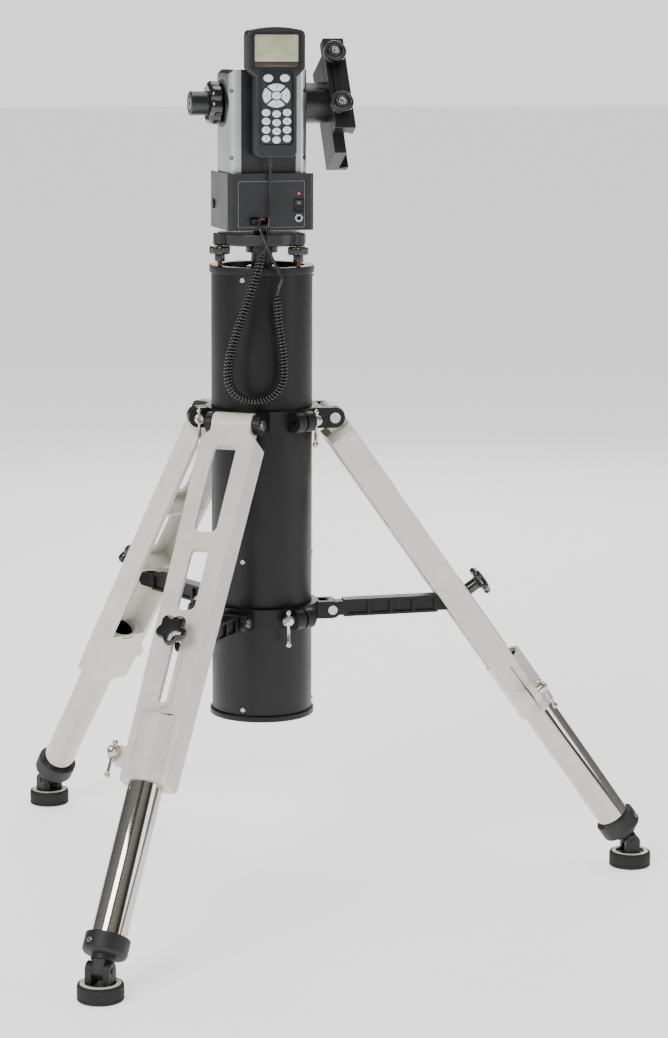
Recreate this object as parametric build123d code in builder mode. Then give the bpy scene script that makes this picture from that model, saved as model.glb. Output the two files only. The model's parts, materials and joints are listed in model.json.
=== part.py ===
"""Star tracker mount: a motor-driven altitude-azimuth head, its curly-corded hand controller,
and the pier tripod that it stands on.

Millimetres, +Z up. The origin is on the floor under the pier axis; the head's front faces -Y.
Every piece is its own closed solid, written as one STEP file in parts/.
"""
import os
from math import atan2, cos, degrees, hypot, radians, sin, tan

from build123d import *

os.makedirs("parts", exist_ok=True)

# ---- fits ----
RUNNING = 0.05          # radial clearance of a pin, stud or shaft in its hole
SEAT_GAP = 0.1          # glue or paint gap between fixed pieces
BODY_GAP = 0.3          # air between pieces that move past each other

# ---- pier ----
PIER_RADIUS = 76.2
PIER_WALL = 4.0
PIER_TOP = 960.5
PIER_BOTTOM = 272.8
CAP_RADIUS = PIER_RADIUS + 2.6
CAP_SKIRT = 11.0        # height of the cap's outer rim
CAP_PLATE = 3.0
CAP_SPIGOT = 26.0       # depth of the cap's wall inside the tube
CAP_RECESS_RADIUS = PIER_RADIUS - 12.7
CAP_RECESS = 10.0       # depth of the recessed centre
FOOT_RING_RADIUS = PIER_RADIUS + 3.3
FOOT_RING_SKIRT = 9.0
SCREW_INSET = 18.0      # screw centres below the pier's top and above its bottom
SCREW_MIDDLE = 519.0    # height of the middle screws
SCREW_RADIUS = 2.5
SCREW_HEAD_RADIUS = 4.2
SCREW_HEAD = 2.4

# ---- clamp rings ----
FIRST_LEG_AZIMUTH = -6.0
LEG_AZIMUTHS = [FIRST_LEG_AZIMUTH + 120.0 * k for k in range(3)]
LUG_AZIMUTHS = [a - 60.0 for a in LEG_AZIMUTHS]
RING_THICKNESS = 9.6
UPPER_RING_HEIGHT = 32.0
LOWER_RING_HEIGHT = 30.0
RING_SPACING = 299.0     # between the two rings' middles
LUG_RADIUS = PIER_RADIUS + 21.8     # distance from the pier axis to a clamping bolt
LUG_SIZE = 15.0         # radius of the lug's round end
LUG_THICKNESS = 15.0
LUG_GAP = 3.0

# ---- T-handled clamping bolts ----
BOLT_RADIUS = 4.0
BARREL_RADIUS = 7.8
BARREL_LENGTH = 17.0
BAR_RADIUS = 2.4
BAR_LENGTH = 49.0       # between the centres of its two balls
BALL_RADIUS = 4.5

# ---- legs ----
LEG_ANGLE = 35.1        # from the vertical
HINGE_RADIUS = PIER_RADIUS + 29.2
HINGE_PIN_RADIUS = 5.0
EAR_INNER = 33.0
EAR_OUTER = 43.0
EAR_RADIUS = 15.5
LEG_LUG_RADIUS = 17.0
SHOULDER = 19.0         # casting's start, measured down the leg from its hinge
CASTING_END = 573.0
HALF_WIDTH_TOP = 44.5
HALF_WIDTH_END = 37.0
CASTING_BACK = -27.0    # measured outwards from the tube's axis
CASTING_FACE = 14.0
CASTING_WALL = 7.5
CHANNEL_START = 30.0
CHANNEL_END = 470.0
WINDOW_ONE = (41.0, 184.0, 35.0)
WINDOW_TWO = (210.0, 309.0, 27.0)
SLOT = (330.0, 454.0, 13.0)
SLOT_RIM = 7.0
SLOT_RIM_HEIGHT = 2.5
RIB_PLACES = (197.0, 318.0)
RIB_THICKNESS = 4.0
TUBE_RADIUS = 25.4
TUBE_WALL = 2.0
TUBE_START = 480.0
TUBE_END = 806.0
SOCKET_WALL = 5.0
SOCKET_START = 475.0
SLIT_START = 482.0
CLAMP_PLACE = 535.0
CLAMP_OFFSET = 52.0
CLAMP_LUG_RADIUS = 12.5
CLAMP_LUG_HALF = 12.0
PIN_HOLE_PLACE = 596.0
PIN_HOLE_RADIUS = 3.0

# ---- boots and feet ----
BOOT_RADIUS = 32.0
BOOT_START = 796.0
BOOT_END = 824.0
BOOT_NECK_RADIUS = 17.0
FOOT_PIVOT = 843.5      # down the leg from its hinge
FOOT_HEIGHT = 41.9      # the pivot above the floor
KNUCKLE_RADIUS = 11.5
KNUCKLE_HALF = 8.5
FOOT_EAR_OUTER = 18.5
FOOT_PIN_RADIUS = 4.0
PAD_RADIUS = 32.65
PAD_HEIGHT = 24.2
PAD_RECESS = 7.0
WHITE_RING_RADII = (22.0, 29.0)
WHITE_RING_HEIGHT = 3.0
SWIVEL_BASE = 6.0

# ---- spreader arms and star knobs ----
ARM_PIVOT_RADIUS = PIER_RADIUS + 30.3
ARM_PIN_RADIUS = 4.0
ARM_HALF_WIDTH = 11.5
ARM_HALF_HEIGHT = 13.2
ARM_EAR_THICKNESS = 8.5
ARM_POCKET_DEPTH = 4.0
ARM_POCKETS = 4
KNOB_PLACE = 352.0      # the star knob's bolt, down the leg from its hinge
KNOB_BLOCK_CENTRE = -14.0
STAR_STEM_RADIUS = 9.5
STAR_HEAD_START = 35.5
STAR_HEAD = 13.0
STAR_HUB_RADIUS = 19.0
STAR_LOBE_RADIUS = 7.5
STAR_STUD_RADIUS = 4.5
SLIDE_BLOCK = (16.0, 11.0, 17.0)

# ---- levelling base ----
PLATE_BOTTOM = PIER_TOP + 30.5
PLATE_TOP = PLATE_BOTTOM + 18.0
LEVEL_RADIUS = PIER_RADIUS - 8.2
PLATE_RADIUS = LEVEL_RADIUS - 2.0
LEVEL_AZIMUTH = -51.0
LEVEL_LOBE_RADIUS = 10.0
LEVEL_KNOB_RADIUS = 16.0
LEVEL_KNOB = 12.0
LEVEL_STEM_RADIUS = 7.8
LEVEL_STEM = 11.0
LEVEL_STUD_RADIUS = 3.8
COLLAR_RADIUS = 24.0
COLLAR = 12.0
POST_RADIUS = 16.0
SPINDLE_RADIUS = 12.0
SPINDLE_TOP = PLATE_TOP + 25.0

# ---- base box ----
BOX_WIDTH = 131.0
BOX_DEPTH = 120.0
BOX_BOTTOM = PLATE_TOP + 6.0
BOX_TOP = BOX_BOTTOM + 84.0
BOX_WALL = 4.0
BOX_CORNER = 7.0
PANEL_WIDTH = 104.0
PANEL_BOTTOM = BOX_BOTTOM + 3.0
PANEL_TOP = BOX_TOP - 10.0
PANEL_THICKNESS = 2.4
PANEL_RECESS = 0.8      # how far the panel's face lies below the box's
PORTS_X = (-26.0, -11.6)
PORT_HEIGHT = BOX_BOTTOM + 14.0
PORT_SIZE = (12.6, 10.6)
PORT_DEPTH = 14.0
CONTROLS_X = 41.8
LED_HEIGHT = BOX_BOTTOM + 54.0
LED_RADIUS = 1.6
SWITCH_HEIGHT = BOX_BOTTOM + 36.5
SWITCH_SIZE = (13.0, 18.0)
SWITCH_PIVOT = (3.0, 2.4)   # depth of its pivot behind the panel's face, and its radius
JACK_HEIGHT = BOX_BOTTOM + 18.0
JACK_RADIUS = 4.8
JACK_BORE = 2.8
LOCK_DISC = (38.0, 35.0, 7.5)   # azimuth lock disc on the left face: y, rise from the box's bottom, radius

# ---- tower ----
TOWER_WIDTH = 122.0
TOWER_DEPTH = 84.0
TOWER_BOTTOM = BOX_TOP
TOWER_TOP = TOWER_BOTTOM + 151.0
TOWER_CORNER = 15.0
PANEL_SHEET = 3.0
FRONT_PLATE_WIDTH = 83.0
TOWER_WALL = 7.0
ALTITUDE_HEIGHT = TOWER_TOP - 50.0
FLANGE_RADIUS = 35.0
HUB_HOLE_RADIUS = 27.1  # of the right-hand side panel
FLANGE = 2.0

# ---- altitude axis ----
SHAFT_RADIUS = 12.0
SLEEVE_RADIUS = 18.0
SLEEVE_END = 110.0
CLUTCH_RADIUS = 33.0
CLUTCH_THICKNESS = 20.0
CLUTCH_LOBES = 7
HUB_RADIUS = 30.5
HUB_END = 95.0
SOCKET_RADIUS = 5.0
SOCKET_DEPTH = 22.0
SADDLE_TILT = 30.0      # the saddle's long axis, from the vertical
SADDLE_SPAN = (-95.0, 66.0)
SADDLE_EDGES = (-34.0, 22.0)
SADDLE_BED = 113.0
SADDLE_FACE = 127.0
DOVETAIL_LEAN = 4.0
JAW_SPAN = (-64.0, 86.0)
JAW_WIDTH = 20.0
JAW_KNOBS = (54.0, -30.5)
JAW_SCREW_X = 106.0
JAW_SCREW_RADIUS = 4.0
JAW_SCREW_PLAY = 0.6    # radial, in the plate
JAW_SCREW_DEPTH = 18.0
JAW_KNOB_RADIUS = 17.0
JAW_KNOB = 13.0
JAW_COLLAR = 8.0

# ---- hand controller ----
CONTROLLER_X = 2.0
CONTROLLER_FRONT = -TOWER_DEPTH / 2 - 40.0
CONTROLLER_DEPTH = 24.0
CONTROLLER_BOTTOM = BOX_TOP + 24.0
CONTROLLER_NECK = CONTROLLER_BOTTOM + 123.0
CONTROLLER_TOP = CONTROLLER_BOTTOM + 189.0
CONTROLLER_WIDTH = 62.0
CONTROLLER_HEAD_WIDTH = 87.0
HEAD_CROWN = 6.0        # rise of the arched top
HEAD_CORNER = 8.0
KEY_FIELD = (50.0, 108.0, 3.6)
KEY_FIELD_CENTRE = CONTROLLER_BOTTOM + 72.5
KEY_SHEET = 1.4
KEY_PROUD = 1.6
SCREEN_SIZE = (70.0, 52.0)
SCREEN_CENTRE = CONTROLLER_TOP - 34.5
SCREEN_DEPTH = 1.6
HOLDER_SIZE = (40.0, 70.0)
HOLDER_CENTRE = CONTROLLER_BOTTOM + 62.0
NUMBER_KEY = (12.4, 10.4)
NUMBER_PITCH = (15.8, 12.6)
NUMBER_TOP = CONTROLLER_BOTTOM + 65.4
NUMBER_DROP = 2.0       # the middle column sits this much lower
ARROW_CENTRE = CONTROLLER_BOTTOM + 90.0
ARROW_RING = (20.8, 17.5)   # half width and half height
ARROW_EYE = (8.6, 7.0)
ARROW_GAP = 2.4
CENTRE_KEY = (14.2, 11.2)
TOP_KEY = (14.1, 11.0)
TOP_KEY_OFFSET = 12.5
TOP_KEY_HEIGHT = CONTROLLER_BOTTOM + 115.2

# ---- controller cord ----
LEAD_RADIUS = 2.1
COIL_RADIUS = 6.8
CORD_X = -4.5
CORD_Y = -70.0
RELIEF_RADIUS = 3.6
RELIEF_LENGTH = 13.0
PLUG_SIZE = (11.7, 7.0, 17.0)
UPPER_LEAD_ROUTE = [(CORD_X, CORD_Y, 95), (-5.2, -69, 67), (-4.8, -69.5, 37), (-6.5, -72, 11), (-12, -80.5, -9),
                    (-21, -89, -29)]    # heights here are above the base box's bottom
COIL_ROUTE = [(-21, -89, -29), (-30, -94.5, -57), (-46, -96, -104), (-62, -95.5, -147), (-73.5, -94.5, -186),
              (-75.5, -93.5, -221), (-59.5, -93.5, -243.5), (-33, -94, -252), (-6.5, -95, -243.5), (9.5, -96, -221),
              (8.5, -97, -186), (4, -97.5, -151), (-1, -98, -118), (-1.5, -98.5, -89)]
LOWER_LEAD_ROUTE = [(-1.5, -98.5, -89), (0.2, -99, -80.5), (5, -98.6, -73), (6.2, -97.2, -65), (0.5, -94.5, -53.5),
                    (-8.5, -92.5, -36), (-16, -91.8, -18), (-21.5, -91.5, -5), (-24.6, -88.5, 5),
                    (-25.8, -81.5, 12), (PORTS_X[0], -72.5, 14)]

# ---- worked-out places ----
UPPER_RING_CENTRE = FOOT_HEIGHT + FOOT_PIVOT * cos(radians(LEG_ANGLE))
LOWER_RING_CENTRE = UPPER_RING_CENTRE - RING_SPACING
RING_INNER = PIER_RADIUS + SEAT_GAP
RING_OUTER = PIER_RADIUS + RING_THICKNESS
SPIGOT_RADIUS = PIER_RADIUS - PIER_WALL - SEAT_GAP
HINGE_HEIGHT = UPPER_RING_CENTRE
ARM_PIVOT_HEIGHT = LOWER_RING_CENTRE - 1.0
FOOT_RADIUS = HINGE_RADIUS + FOOT_PIVOT * sin(radians(LEG_ANGLE))
KNOB_RADIAL = (HINGE_RADIUS + KNOB_PLACE * sin(radians(LEG_ANGLE))
               + KNOB_BLOCK_CENTRE * cos(radians(LEG_ANGLE)))
KNOB_HEIGHT = (HINGE_HEIGHT - KNOB_PLACE * cos(radians(LEG_ANGLE))
               + KNOB_BLOCK_CENTRE * sin(radians(LEG_ANGLE)))
ARM_LENGTH = hypot(KNOB_RADIAL - ARM_PIVOT_RADIUS, KNOB_HEIGHT - ARM_PIVOT_HEIGHT)
ARM_RISE = degrees(atan2(KNOB_HEIGHT - ARM_PIVOT_HEIGHT, KNOB_RADIAL - ARM_PIVOT_RADIUS))
BOX_FRONT = -BOX_DEPTH / 2
PANEL_FACE = BOX_FRONT + PANEL_RECESS
TOWER_FRONT = -TOWER_DEPTH / 2
FLANGE_FACE = TOWER_WIDTH / 2 + FLANGE
CLUTCH_START = FLANGE_FACE + BODY_GAP
SLEEVE_START = CLUTCH_START + CLUTCH_THICKNESS + BODY_GAP
STAR_SEAT = CASTING_FACE + SLOT_RIM_HEIGHT + BODY_GAP


def towards(azimuth, outward=0.0, up=0.0, around=0.0):
    """The vector with these outward, upward and counter-clockwise shares at one azimuth."""
    c, s = cos(radians(azimuth)), sin(radians(azimuth))
    return Vector(outward * c - around * s, outward * s + around * c, up)


def radial_plane(azimuth, radius, height, rise=0.0):
    """Upright plane through the pier axis: x outwards, y up, its normal clockwise."""
    a = radians(rise)
    return Plane(origin=towards(azimuth, radius, height), x_dir=towards(azimuth, cos(a), sin(a)),
                 z_dir=towards(azimuth, around=-1.0))


def leg_plane(azimuth):
    """A leg's own plane at its hinge: x down the leg, y counter-clockwise, z out of its face."""
    a = radians(LEG_ANGLE)
    return Plane(origin=towards(azimuth, HINGE_RADIUS, HINGE_HEIGHT), x_dir=towards(azimuth, sin(a), -cos(a)),
                 z_dir=towards(azimuth, cos(a), sin(a)))


def across_leg(leg, place):
    """Plane square to a leg at a place down it: x counter-clockwise, y out of its face."""
    return Plane(origin=leg.from_local_coords((place, 0, 0)), x_dir=leg.y_dir, z_dir=leg.x_dir)


def beside_leg(leg):
    """A leg's side-view plane: x down the leg, y out of its face."""
    return Plane(origin=leg.origin, x_dir=leg.x_dir, z_dir=-leg.y_dir)


def lying(x, y, z):
    """Upright plane square to Y: x to the right, y up, its normal to the front."""
    return Plane(origin=(x, y, z), x_dir=(1, 0, 0), z_dir=(0, -1, 0))


def save(piece, label):
    """Label a finished piece and write its STEP file."""
    piece.part.label = label
    export_step(piece.part, f"parts/{label}.step")


# ==== pier ====
TUBE_BOTTOM = PIER_BOTTOM + CAP_PLATE
TUBE_TOP = PIER_TOP - CAP_PLATE
SCREW_HEIGHTS = (PIER_TOP - SCREW_INSET, SCREW_MIDDLE, PIER_BOTTOM + SCREW_INSET)


def screw_planes():
    """One plane for each pier screw, on the pier's face with its normal outwards."""
    for azimuth in LEG_AZIMUTHS:
        for height in SCREW_HEIGHTS:
            yield Plane(origin=towards(azimuth, PIER_RADIUS, height), x_dir=towards(azimuth, around=1.0),
                        z_dir=towards(azimuth, 1.0))


with BuildPart() as pier_tube:
    with BuildSketch(Plane.XY.offset(TUBE_BOTTOM)):
        Circle(PIER_RADIUS)
        Circle(PIER_RADIUS - PIER_WALL, mode=Mode.SUBTRACT)
    extrude(amount=TUBE_TOP - TUBE_BOTTOM)
    for plane in screw_planes():
        with BuildSketch(plane):
            Circle(SCREW_RADIUS + RUNNING)
        extrude(amount=-PIER_WALL - 1, both=True, mode=Mode.SUBTRACT)
save(pier_tube, "pier_tube")

with BuildPart() as pier_top_cap:
    with BuildSketch(Plane.XZ):
        with BuildLine():
            Polyline((POST_RADIUS + SEAT_GAP, PIER_TOP - CAP_RECESS), (CAP_RECESS_RADIUS, PIER_TOP - CAP_RECESS),
                     (CAP_RECESS_RADIUS, PIER_TOP), (CAP_RADIUS, PIER_TOP), (CAP_RADIUS, PIER_TOP - CAP_SKIRT),
                     (PIER_RADIUS + SEAT_GAP, PIER_TOP - CAP_SKIRT), (PIER_RADIUS + SEAT_GAP, TUBE_TOP),
                     (SPIGOT_RADIUS, TUBE_TOP), (SPIGOT_RADIUS, PIER_TOP - CAP_SPIGOT),
                     (CAP_RECESS_RADIUS, PIER_TOP - CAP_SPIGOT),
                     (CAP_RECESS_RADIUS, PIER_TOP - CAP_RECESS - CAP_PLATE),
                     (POST_RADIUS + SEAT_GAP, PIER_TOP - CAP_RECESS - CAP_PLATE), close=True)
        make_face()
    revolve(axis=Axis.Z)
    for plane in screw_planes():
        with BuildSketch(plane):
            Circle(SCREW_RADIUS + RUNNING)
        extrude(amount=-PIER_RADIUS + CAP_RECESS_RADIUS - 1, mode=Mode.SUBTRACT)
save(pier_top_cap, "pier_top_cap")

with BuildPart() as pier_bottom_ring:
    with BuildSketch(Plane.XZ):
        with BuildLine():
            Polyline((CAP_RECESS_RADIUS, PIER_BOTTOM), (FOOT_RING_RADIUS, PIER_BOTTOM),
                     (FOOT_RING_RADIUS, PIER_BOTTOM + FOOT_RING_SKIRT),
                     (PIER_RADIUS + SEAT_GAP, PIER_BOTTOM + FOOT_RING_SKIRT), (PIER_RADIUS + SEAT_GAP, TUBE_BOTTOM),
                     (SPIGOT_RADIUS, TUBE_BOTTOM), (SPIGOT_RADIUS, PIER_BOTTOM + CAP_SPIGOT),
                     (CAP_RECESS_RADIUS, PIER_BOTTOM + CAP_SPIGOT), close=True)
        make_face()
    revolve(axis=Axis.Z)
    for plane in screw_planes():
        with BuildSketch(plane):
            Circle(SCREW_RADIUS + RUNNING)
        extrude(amount=-PIER_RADIUS + CAP_RECESS_RADIUS - 1, mode=Mode.SUBTRACT)
save(pier_bottom_ring, "pier_bottom_ring")

with BuildPart() as pier_screws:
    for plane in screw_planes():
        with BuildSketch(plane):
            Circle(SCREW_RADIUS)
        extrude(amount=-PIER_WALL - SCREW_RADIUS)
        with BuildSketch(plane.offset(SEAT_GAP)):
            Circle(SCREW_HEAD_RADIUS)
        extrude(amount=SCREW_HEAD, taper=25)
        with BuildSketch(plane):
            Circle(SCREW_RADIUS)
        extrude(amount=SEAT_GAP)
save(pier_screws, "pier_screws")


# ==== clamp rings ====
def clamp_ring(label, centre, height, pivot_radius, pivot_height, ear_inner, ear_outer, ear_radius, pin_radius):
    """Three castings round the pier: each has a clevis at its middle and a bolt lug at each end."""
    with BuildPart() as ring:
        with BuildSketch(Plane.XY.offset(centre - height / 2)):
            Circle(RING_OUTER)
        extrude(amount=height)
        for azimuth in LUG_AZIMUTHS:
            with BuildSketch(radial_plane(azimuth, LUG_RADIUS, centre)):
                Circle(LUG_SIZE)
                with Locations((-LUG_SIZE, 0)):
                    Rectangle(2 * LUG_SIZE, 2 * LUG_SIZE)
            extrude(amount=LUG_THICKNESS + LUG_GAP / 2, both=True)
        for azimuth in LEG_AZIMUTHS:
            ear_plane = radial_plane(azimuth, pivot_radius, pivot_height)
            with BuildSketch(ear_plane):
                Circle(ear_radius)
                with Locations((-ear_radius, 0)):
                    Rectangle(2 * ear_radius, 2 * ear_radius)
            extrude(amount=ear_outer, both=True)
            with BuildSketch(ear_plane):
                with Locations((RING_OUTER + 2 * ear_radius + 2 - pivot_radius, 0)):
                    Rectangle(4 * ear_radius, height + 4)
            extrude(amount=ear_inner, both=True, mode=Mode.SUBTRACT)
            with BuildSketch(ear_plane):
                Circle(pin_radius + RUNNING)
            extrude(amount=ear_outer + 1, both=True, mode=Mode.SUBTRACT)
        for azimuth in LUG_AZIMUTHS:
            lug_plane = radial_plane(azimuth, LUG_RADIUS, centre)
            with BuildSketch(lug_plane):
                Circle(BOLT_RADIUS + RUNNING)
            extrude(amount=LUG_THICKNESS + LUG_GAP, both=True, mode=Mode.SUBTRACT)
            with BuildSketch(lug_plane):
                Rectangle(2 * (LUG_RADIUS - RING_INNER) + LUG_SIZE, height + 4)
            extrude(amount=LUG_GAP / 2, both=True, mode=Mode.SUBTRACT)
        with BuildSketch(Plane.XY.offset(centre - height)):
            Circle(RING_INNER)
        extrude(amount=2 * height, mode=Mode.SUBTRACT)
    save(ring, label)


clamp_ring("upper_clamp_ring", UPPER_RING_CENTRE, UPPER_RING_HEIGHT, HINGE_RADIUS, HINGE_HEIGHT,
           EAR_INNER, EAR_OUTER, EAR_RADIUS, HINGE_PIN_RADIUS)
clamp_ring("lower_clamp_ring", LOWER_RING_CENTRE, LOWER_RING_HEIGHT, ARM_PIVOT_RADIUS, ARM_PIVOT_HEIGHT,
           ARM_HALF_WIDTH + BODY_GAP, ARM_HALF_WIDTH + BODY_GAP + ARM_EAR_THICKNESS, ARM_HALF_HEIGHT,
           ARM_PIN_RADIUS)


def hinge_pins(label, radius, height, pin_radius, outer):
    """The three headed pins of one ring's clevises."""
    with BuildPart() as pins:
        for azimuth in LEG_AZIMUTHS:
            plane = radial_plane(azimuth, radius, height)
            with BuildSketch(plane):
                Circle(pin_radius)
            extrude(amount=outer + SEAT_GAP, both=True)
            for side in (-1, 1):
                with BuildSketch(plane.offset(side * (outer + SEAT_GAP))):
                    Circle(pin_radius + 3)
                extrude(amount=side * 3)
    save(pins, label)


hinge_pins("leg_hinge_pins", HINGE_RADIUS, HINGE_HEIGHT, HINGE_PIN_RADIUS, EAR_OUTER)
hinge_pins("arm_hinge_pins", ARM_PIVOT_RADIUS, ARM_PIVOT_HEIGHT, ARM_PIN_RADIUS,
           ARM_HALF_WIDTH + BODY_GAP + ARM_EAR_THICKNESS)


# ==== T-handled clamping bolts ====
def t_bolt(label, plane, reach):
    """A clamping bolt: the plane lies on the lug's face, its normal out of it, its x along the hanging bar."""
    short = BARREL_RADIUS + BALL_RADIUS + BODY_GAP
    bar_height = BARREL_LENGTH * 0.55
    with BuildPart() as bolt:
        with BuildSketch(plane.offset(BODY_GAP)):
            Circle(BOLT_RADIUS)
        extrude(amount=-reach)
        with BuildSketch(plane.offset(BODY_GAP)):
            Circle(BARREL_RADIUS)
        extrude(amount=BARREL_LENGTH)
        bar_plane = Plane(origin=plane.from_local_coords((-short, 0, bar_height)), x_dir=plane.y_dir,
                          z_dir=plane.x_dir)
        with BuildSketch(bar_plane):
            Circle(BAR_RADIUS)
        extrude(amount=BAR_LENGTH)
        for end in (-short, BAR_LENGTH - short):
            ball = Plane(origin=plane.from_local_coords((end, 0, bar_height)), x_dir=plane.y_dir, z_dir=plane.z_dir)
            with Locations(ball):
                Sphere(BALL_RADIUS)
    save(bolt, label)


def lug_face(azimuth, centre, side):
    """Plane on a ring lug's outer face, on its clockwise (1) or counter-clockwise (-1) side, x down."""
    offset = LUG_THICKNESS + LUG_GAP / 2
    return Plane(origin=towards(azimuth, LUG_RADIUS, centre, -side * offset), x_dir=(0, 0, -1),
                 z_dir=towards(azimuth, around=-side))


for number, azimuth in enumerate(LUG_AZIMUTHS, 1):
    t_bolt(f"upper_lock_{number}", lug_face(azimuth, UPPER_RING_CENTRE, -1), 2 * LUG_THICKNESS + LUG_GAP)
    t_bolt(f"lower_lock_{number}", lug_face(azimuth, LOWER_RING_CENTRE, 1), 2 * LUG_THICKNESS + LUG_GAP)


# ==== legs ====
def half_width(place):
    """Half the casting's width at a place down the leg."""
    share = (place - SHOULDER) / (CASTING_END - SHOULDER)
    return HALF_WIDTH_TOP + (HALF_WIDTH_END - HALF_WIDTH_TOP) * share


def casting_outline(start, end, inset):
    """The casting's tapered outline between two places, its sides moved in by inset."""
    near, far = half_width(start) - inset, half_width(end) - inset
    Polygon((start, -near), (end, -far), (end, far), (start, near), align=None)


def leg_casting(number, leg):
    """The white cast upper leg: a channel open to the pier, with a split round socket at its lower end."""
    side = beside_leg(leg)
    clamp = (CLAMP_PLACE, -CLAMP_OFFSET)
    with BuildPart() as casting:
        with BuildSketch(leg.offset(CASTING_BACK)):
            casting_outline(SHOULDER, CASTING_END, 0)
        extrude(amount=CASTING_FACE - CASTING_BACK)
        shoulder_edges = casting.edges().filter_by(Axis(leg.origin, leg.z_dir)).group_by(Axis(leg.origin, leg.x_dir))
        chamfer(shoulder_edges[0], length=12)
        face_edges = casting.faces().sort_by(Axis(leg.origin, leg.z_dir))[-1].edges()
        fillet(face_edges, radius=2.5)
        with BuildSketch(side):
            Circle(LEG_LUG_RADIUS)
            with Locations((SHOULDER / 2 + 3, (CASTING_FACE - LEG_LUG_RADIUS) / 2)):
                Rectangle(SHOULDER + 6, CASTING_FACE + LEG_LUG_RADIUS)
        extrude(amount=EAR_INNER - 2, both=True)
        with BuildSketch(across_leg(leg, SOCKET_START)):
            Circle(TUBE_RADIUS + SOCKET_WALL)
        extrude(amount=CASTING_END - SOCKET_START)
        with BuildSketch(leg.offset(-CLAMP_LUG_HALF)):
            with Locations(clamp):
                Circle(CLAMP_LUG_RADIUS)
            with Locations((CLAMP_PLACE, -CLAMP_OFFSET / 2 - 10)):
                Rectangle(2 * CLAMP_LUG_RADIUS, CLAMP_OFFSET - 20)
        extrude(amount=2 * CLAMP_LUG_HALF)
        with BuildSketch(leg.offset(CASTING_FACE)):
            with Locations(((SLOT[0] + SLOT[1]) / 2, 0)):
                SlotOverall(SLOT[1] - SLOT[0] + 2 * SLOT_RIM, SLOT[2] + 2 * SLOT_RIM)
        extrude(amount=SLOT_RIM_HEIGHT)
        with BuildSketch(leg.offset(CASTING_BACK - 1)):
            casting_outline(CHANNEL_START, CHANNEL_END, CASTING_WALL)
            for place in RIB_PLACES:
                with Locations((place, 0)):
                    Rectangle(RIB_THICKNESS, 2 * HALF_WIDTH_TOP, mode=Mode.SUBTRACT)
        extrude(amount=CASTING_FACE - CASTING_WALL - CASTING_BACK + 1, mode=Mode.SUBTRACT)
        for start, end, width in (WINDOW_ONE, WINDOW_TWO):
            with BuildSketch(leg.offset(CASTING_BACK)):
                with Locations(((start + end) / 2, 0)):
                    RectangleRounded(end - start, width, 10)
            extrude(amount=CASTING_FACE - CASTING_BACK + 1, mode=Mode.SUBTRACT)
        with BuildSketch(leg.offset(CASTING_BACK)):
            with Locations(((SLOT[0] + SLOT[1]) / 2, 0)):
                SlotOverall(SLOT[1] - SLOT[0], SLOT[2])
        extrude(amount=CASTING_FACE + SLOT_RIM_HEIGHT - CASTING_BACK + 1, mode=Mode.SUBTRACT)
        with BuildSketch(across_leg(leg, CHANNEL_END - 1)):
            Circle(TUBE_RADIUS + RUNNING)
        extrude(amount=CASTING_END - CHANNEL_END + 2, mode=Mode.SUBTRACT)
        with BuildSketch(side):
            Circle(HINGE_PIN_RADIUS + RUNNING)
        extrude(amount=EAR_INNER, both=True, mode=Mode.SUBTRACT)
        with BuildSketch(leg.offset(-LUG_GAP / 2)):
            with Locations(((SLIT_START + CASTING_END) / 2 + 1, -CLAMP_OFFSET)):
                Rectangle(CASTING_END - SLIT_START + 2, 2 * (CLAMP_OFFSET - TUBE_RADIUS + 4))
        extrude(amount=LUG_GAP, mode=Mode.SUBTRACT)
        with BuildSketch(leg.offset(-CLAMP_LUG_HALF - 1)):
            with Locations(clamp):
                Circle(BOLT_RADIUS + RUNNING)
        extrude(amount=2 * CLAMP_LUG_HALF + 2, mode=Mode.SUBTRACT)
    save(casting, f"leg_{number}_casting")


def leg_tube(number, leg):
    """The polished tube: it slides in the casting's socket and carries the boot."""
    with BuildPart() as tube:
        with BuildSketch(across_leg(leg, TUBE_START)):
            Circle(TUBE_RADIUS)
            Circle(TUBE_RADIUS - TUBE_WALL, mode=Mode.SUBTRACT)
        extrude(amount=TUBE_END - TUBE_START)
        with BuildSketch(leg):
            with Locations((PIN_HOLE_PLACE, 0)):
                Circle(PIN_HOLE_RADIUS)
        extrude(amount=TUBE_RADIUS + 1, mode=Mode.SUBTRACT)
    save(tube, f"leg_{number}_tube")


def leg_boot(number, leg):
    """The black end piece: a cup on the tube, a neck, and a tongue for the foot's pin."""
    side = beside_leg(leg)
    with BuildPart() as boot:
        with BuildSketch(across_leg(leg, BOOT_START)):
            Circle(BOOT_RADIUS)
        extrude(amount=BOOT_END - BOOT_START)
        fillet(boot.edges().filter_by(GeomType.CIRCLE).sort_by(Axis(leg.origin, leg.x_dir))[-1], radius=7)
        fillet(boot.edges().filter_by(GeomType.CIRCLE).sort_by(Axis(leg.origin, leg.x_dir))[0], radius=1.5)
        with BuildSketch(across_leg(leg, BOOT_END)):
            Circle(BOOT_NECK_RADIUS)
        extrude(amount=FOOT_PIVOT - KNUCKLE_RADIUS - 1 - BOOT_END)
        with BuildSketch(side):
            with Locations((FOOT_PIVOT, 0)):
                Circle(KNUCKLE_RADIUS)
            with Locations((FOOT_PIVOT - KNUCKLE_RADIUS, 0)):
                Rectangle(2 * KNUCKLE_RADIUS, 2 * KNUCKLE_RADIUS)
        extrude(amount=KNUCKLE_HALF, both=True)
        with BuildSketch(across_leg(leg, BOOT_START - 1)):
            Circle(TUBE_RADIUS + RUNNING)
        extrude(amount=TUBE_END - BOOT_START + 1, mode=Mode.SUBTRACT)
        with BuildSketch(side):
            with Locations((FOOT_PIVOT, 0)):
                Circle(FOOT_PIN_RADIUS + RUNNING)
        extrude(amount=KNUCKLE_HALF + 1, both=True, mode=Mode.SUBTRACT)
    save(boot, f"leg_{number}_boot")


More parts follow.
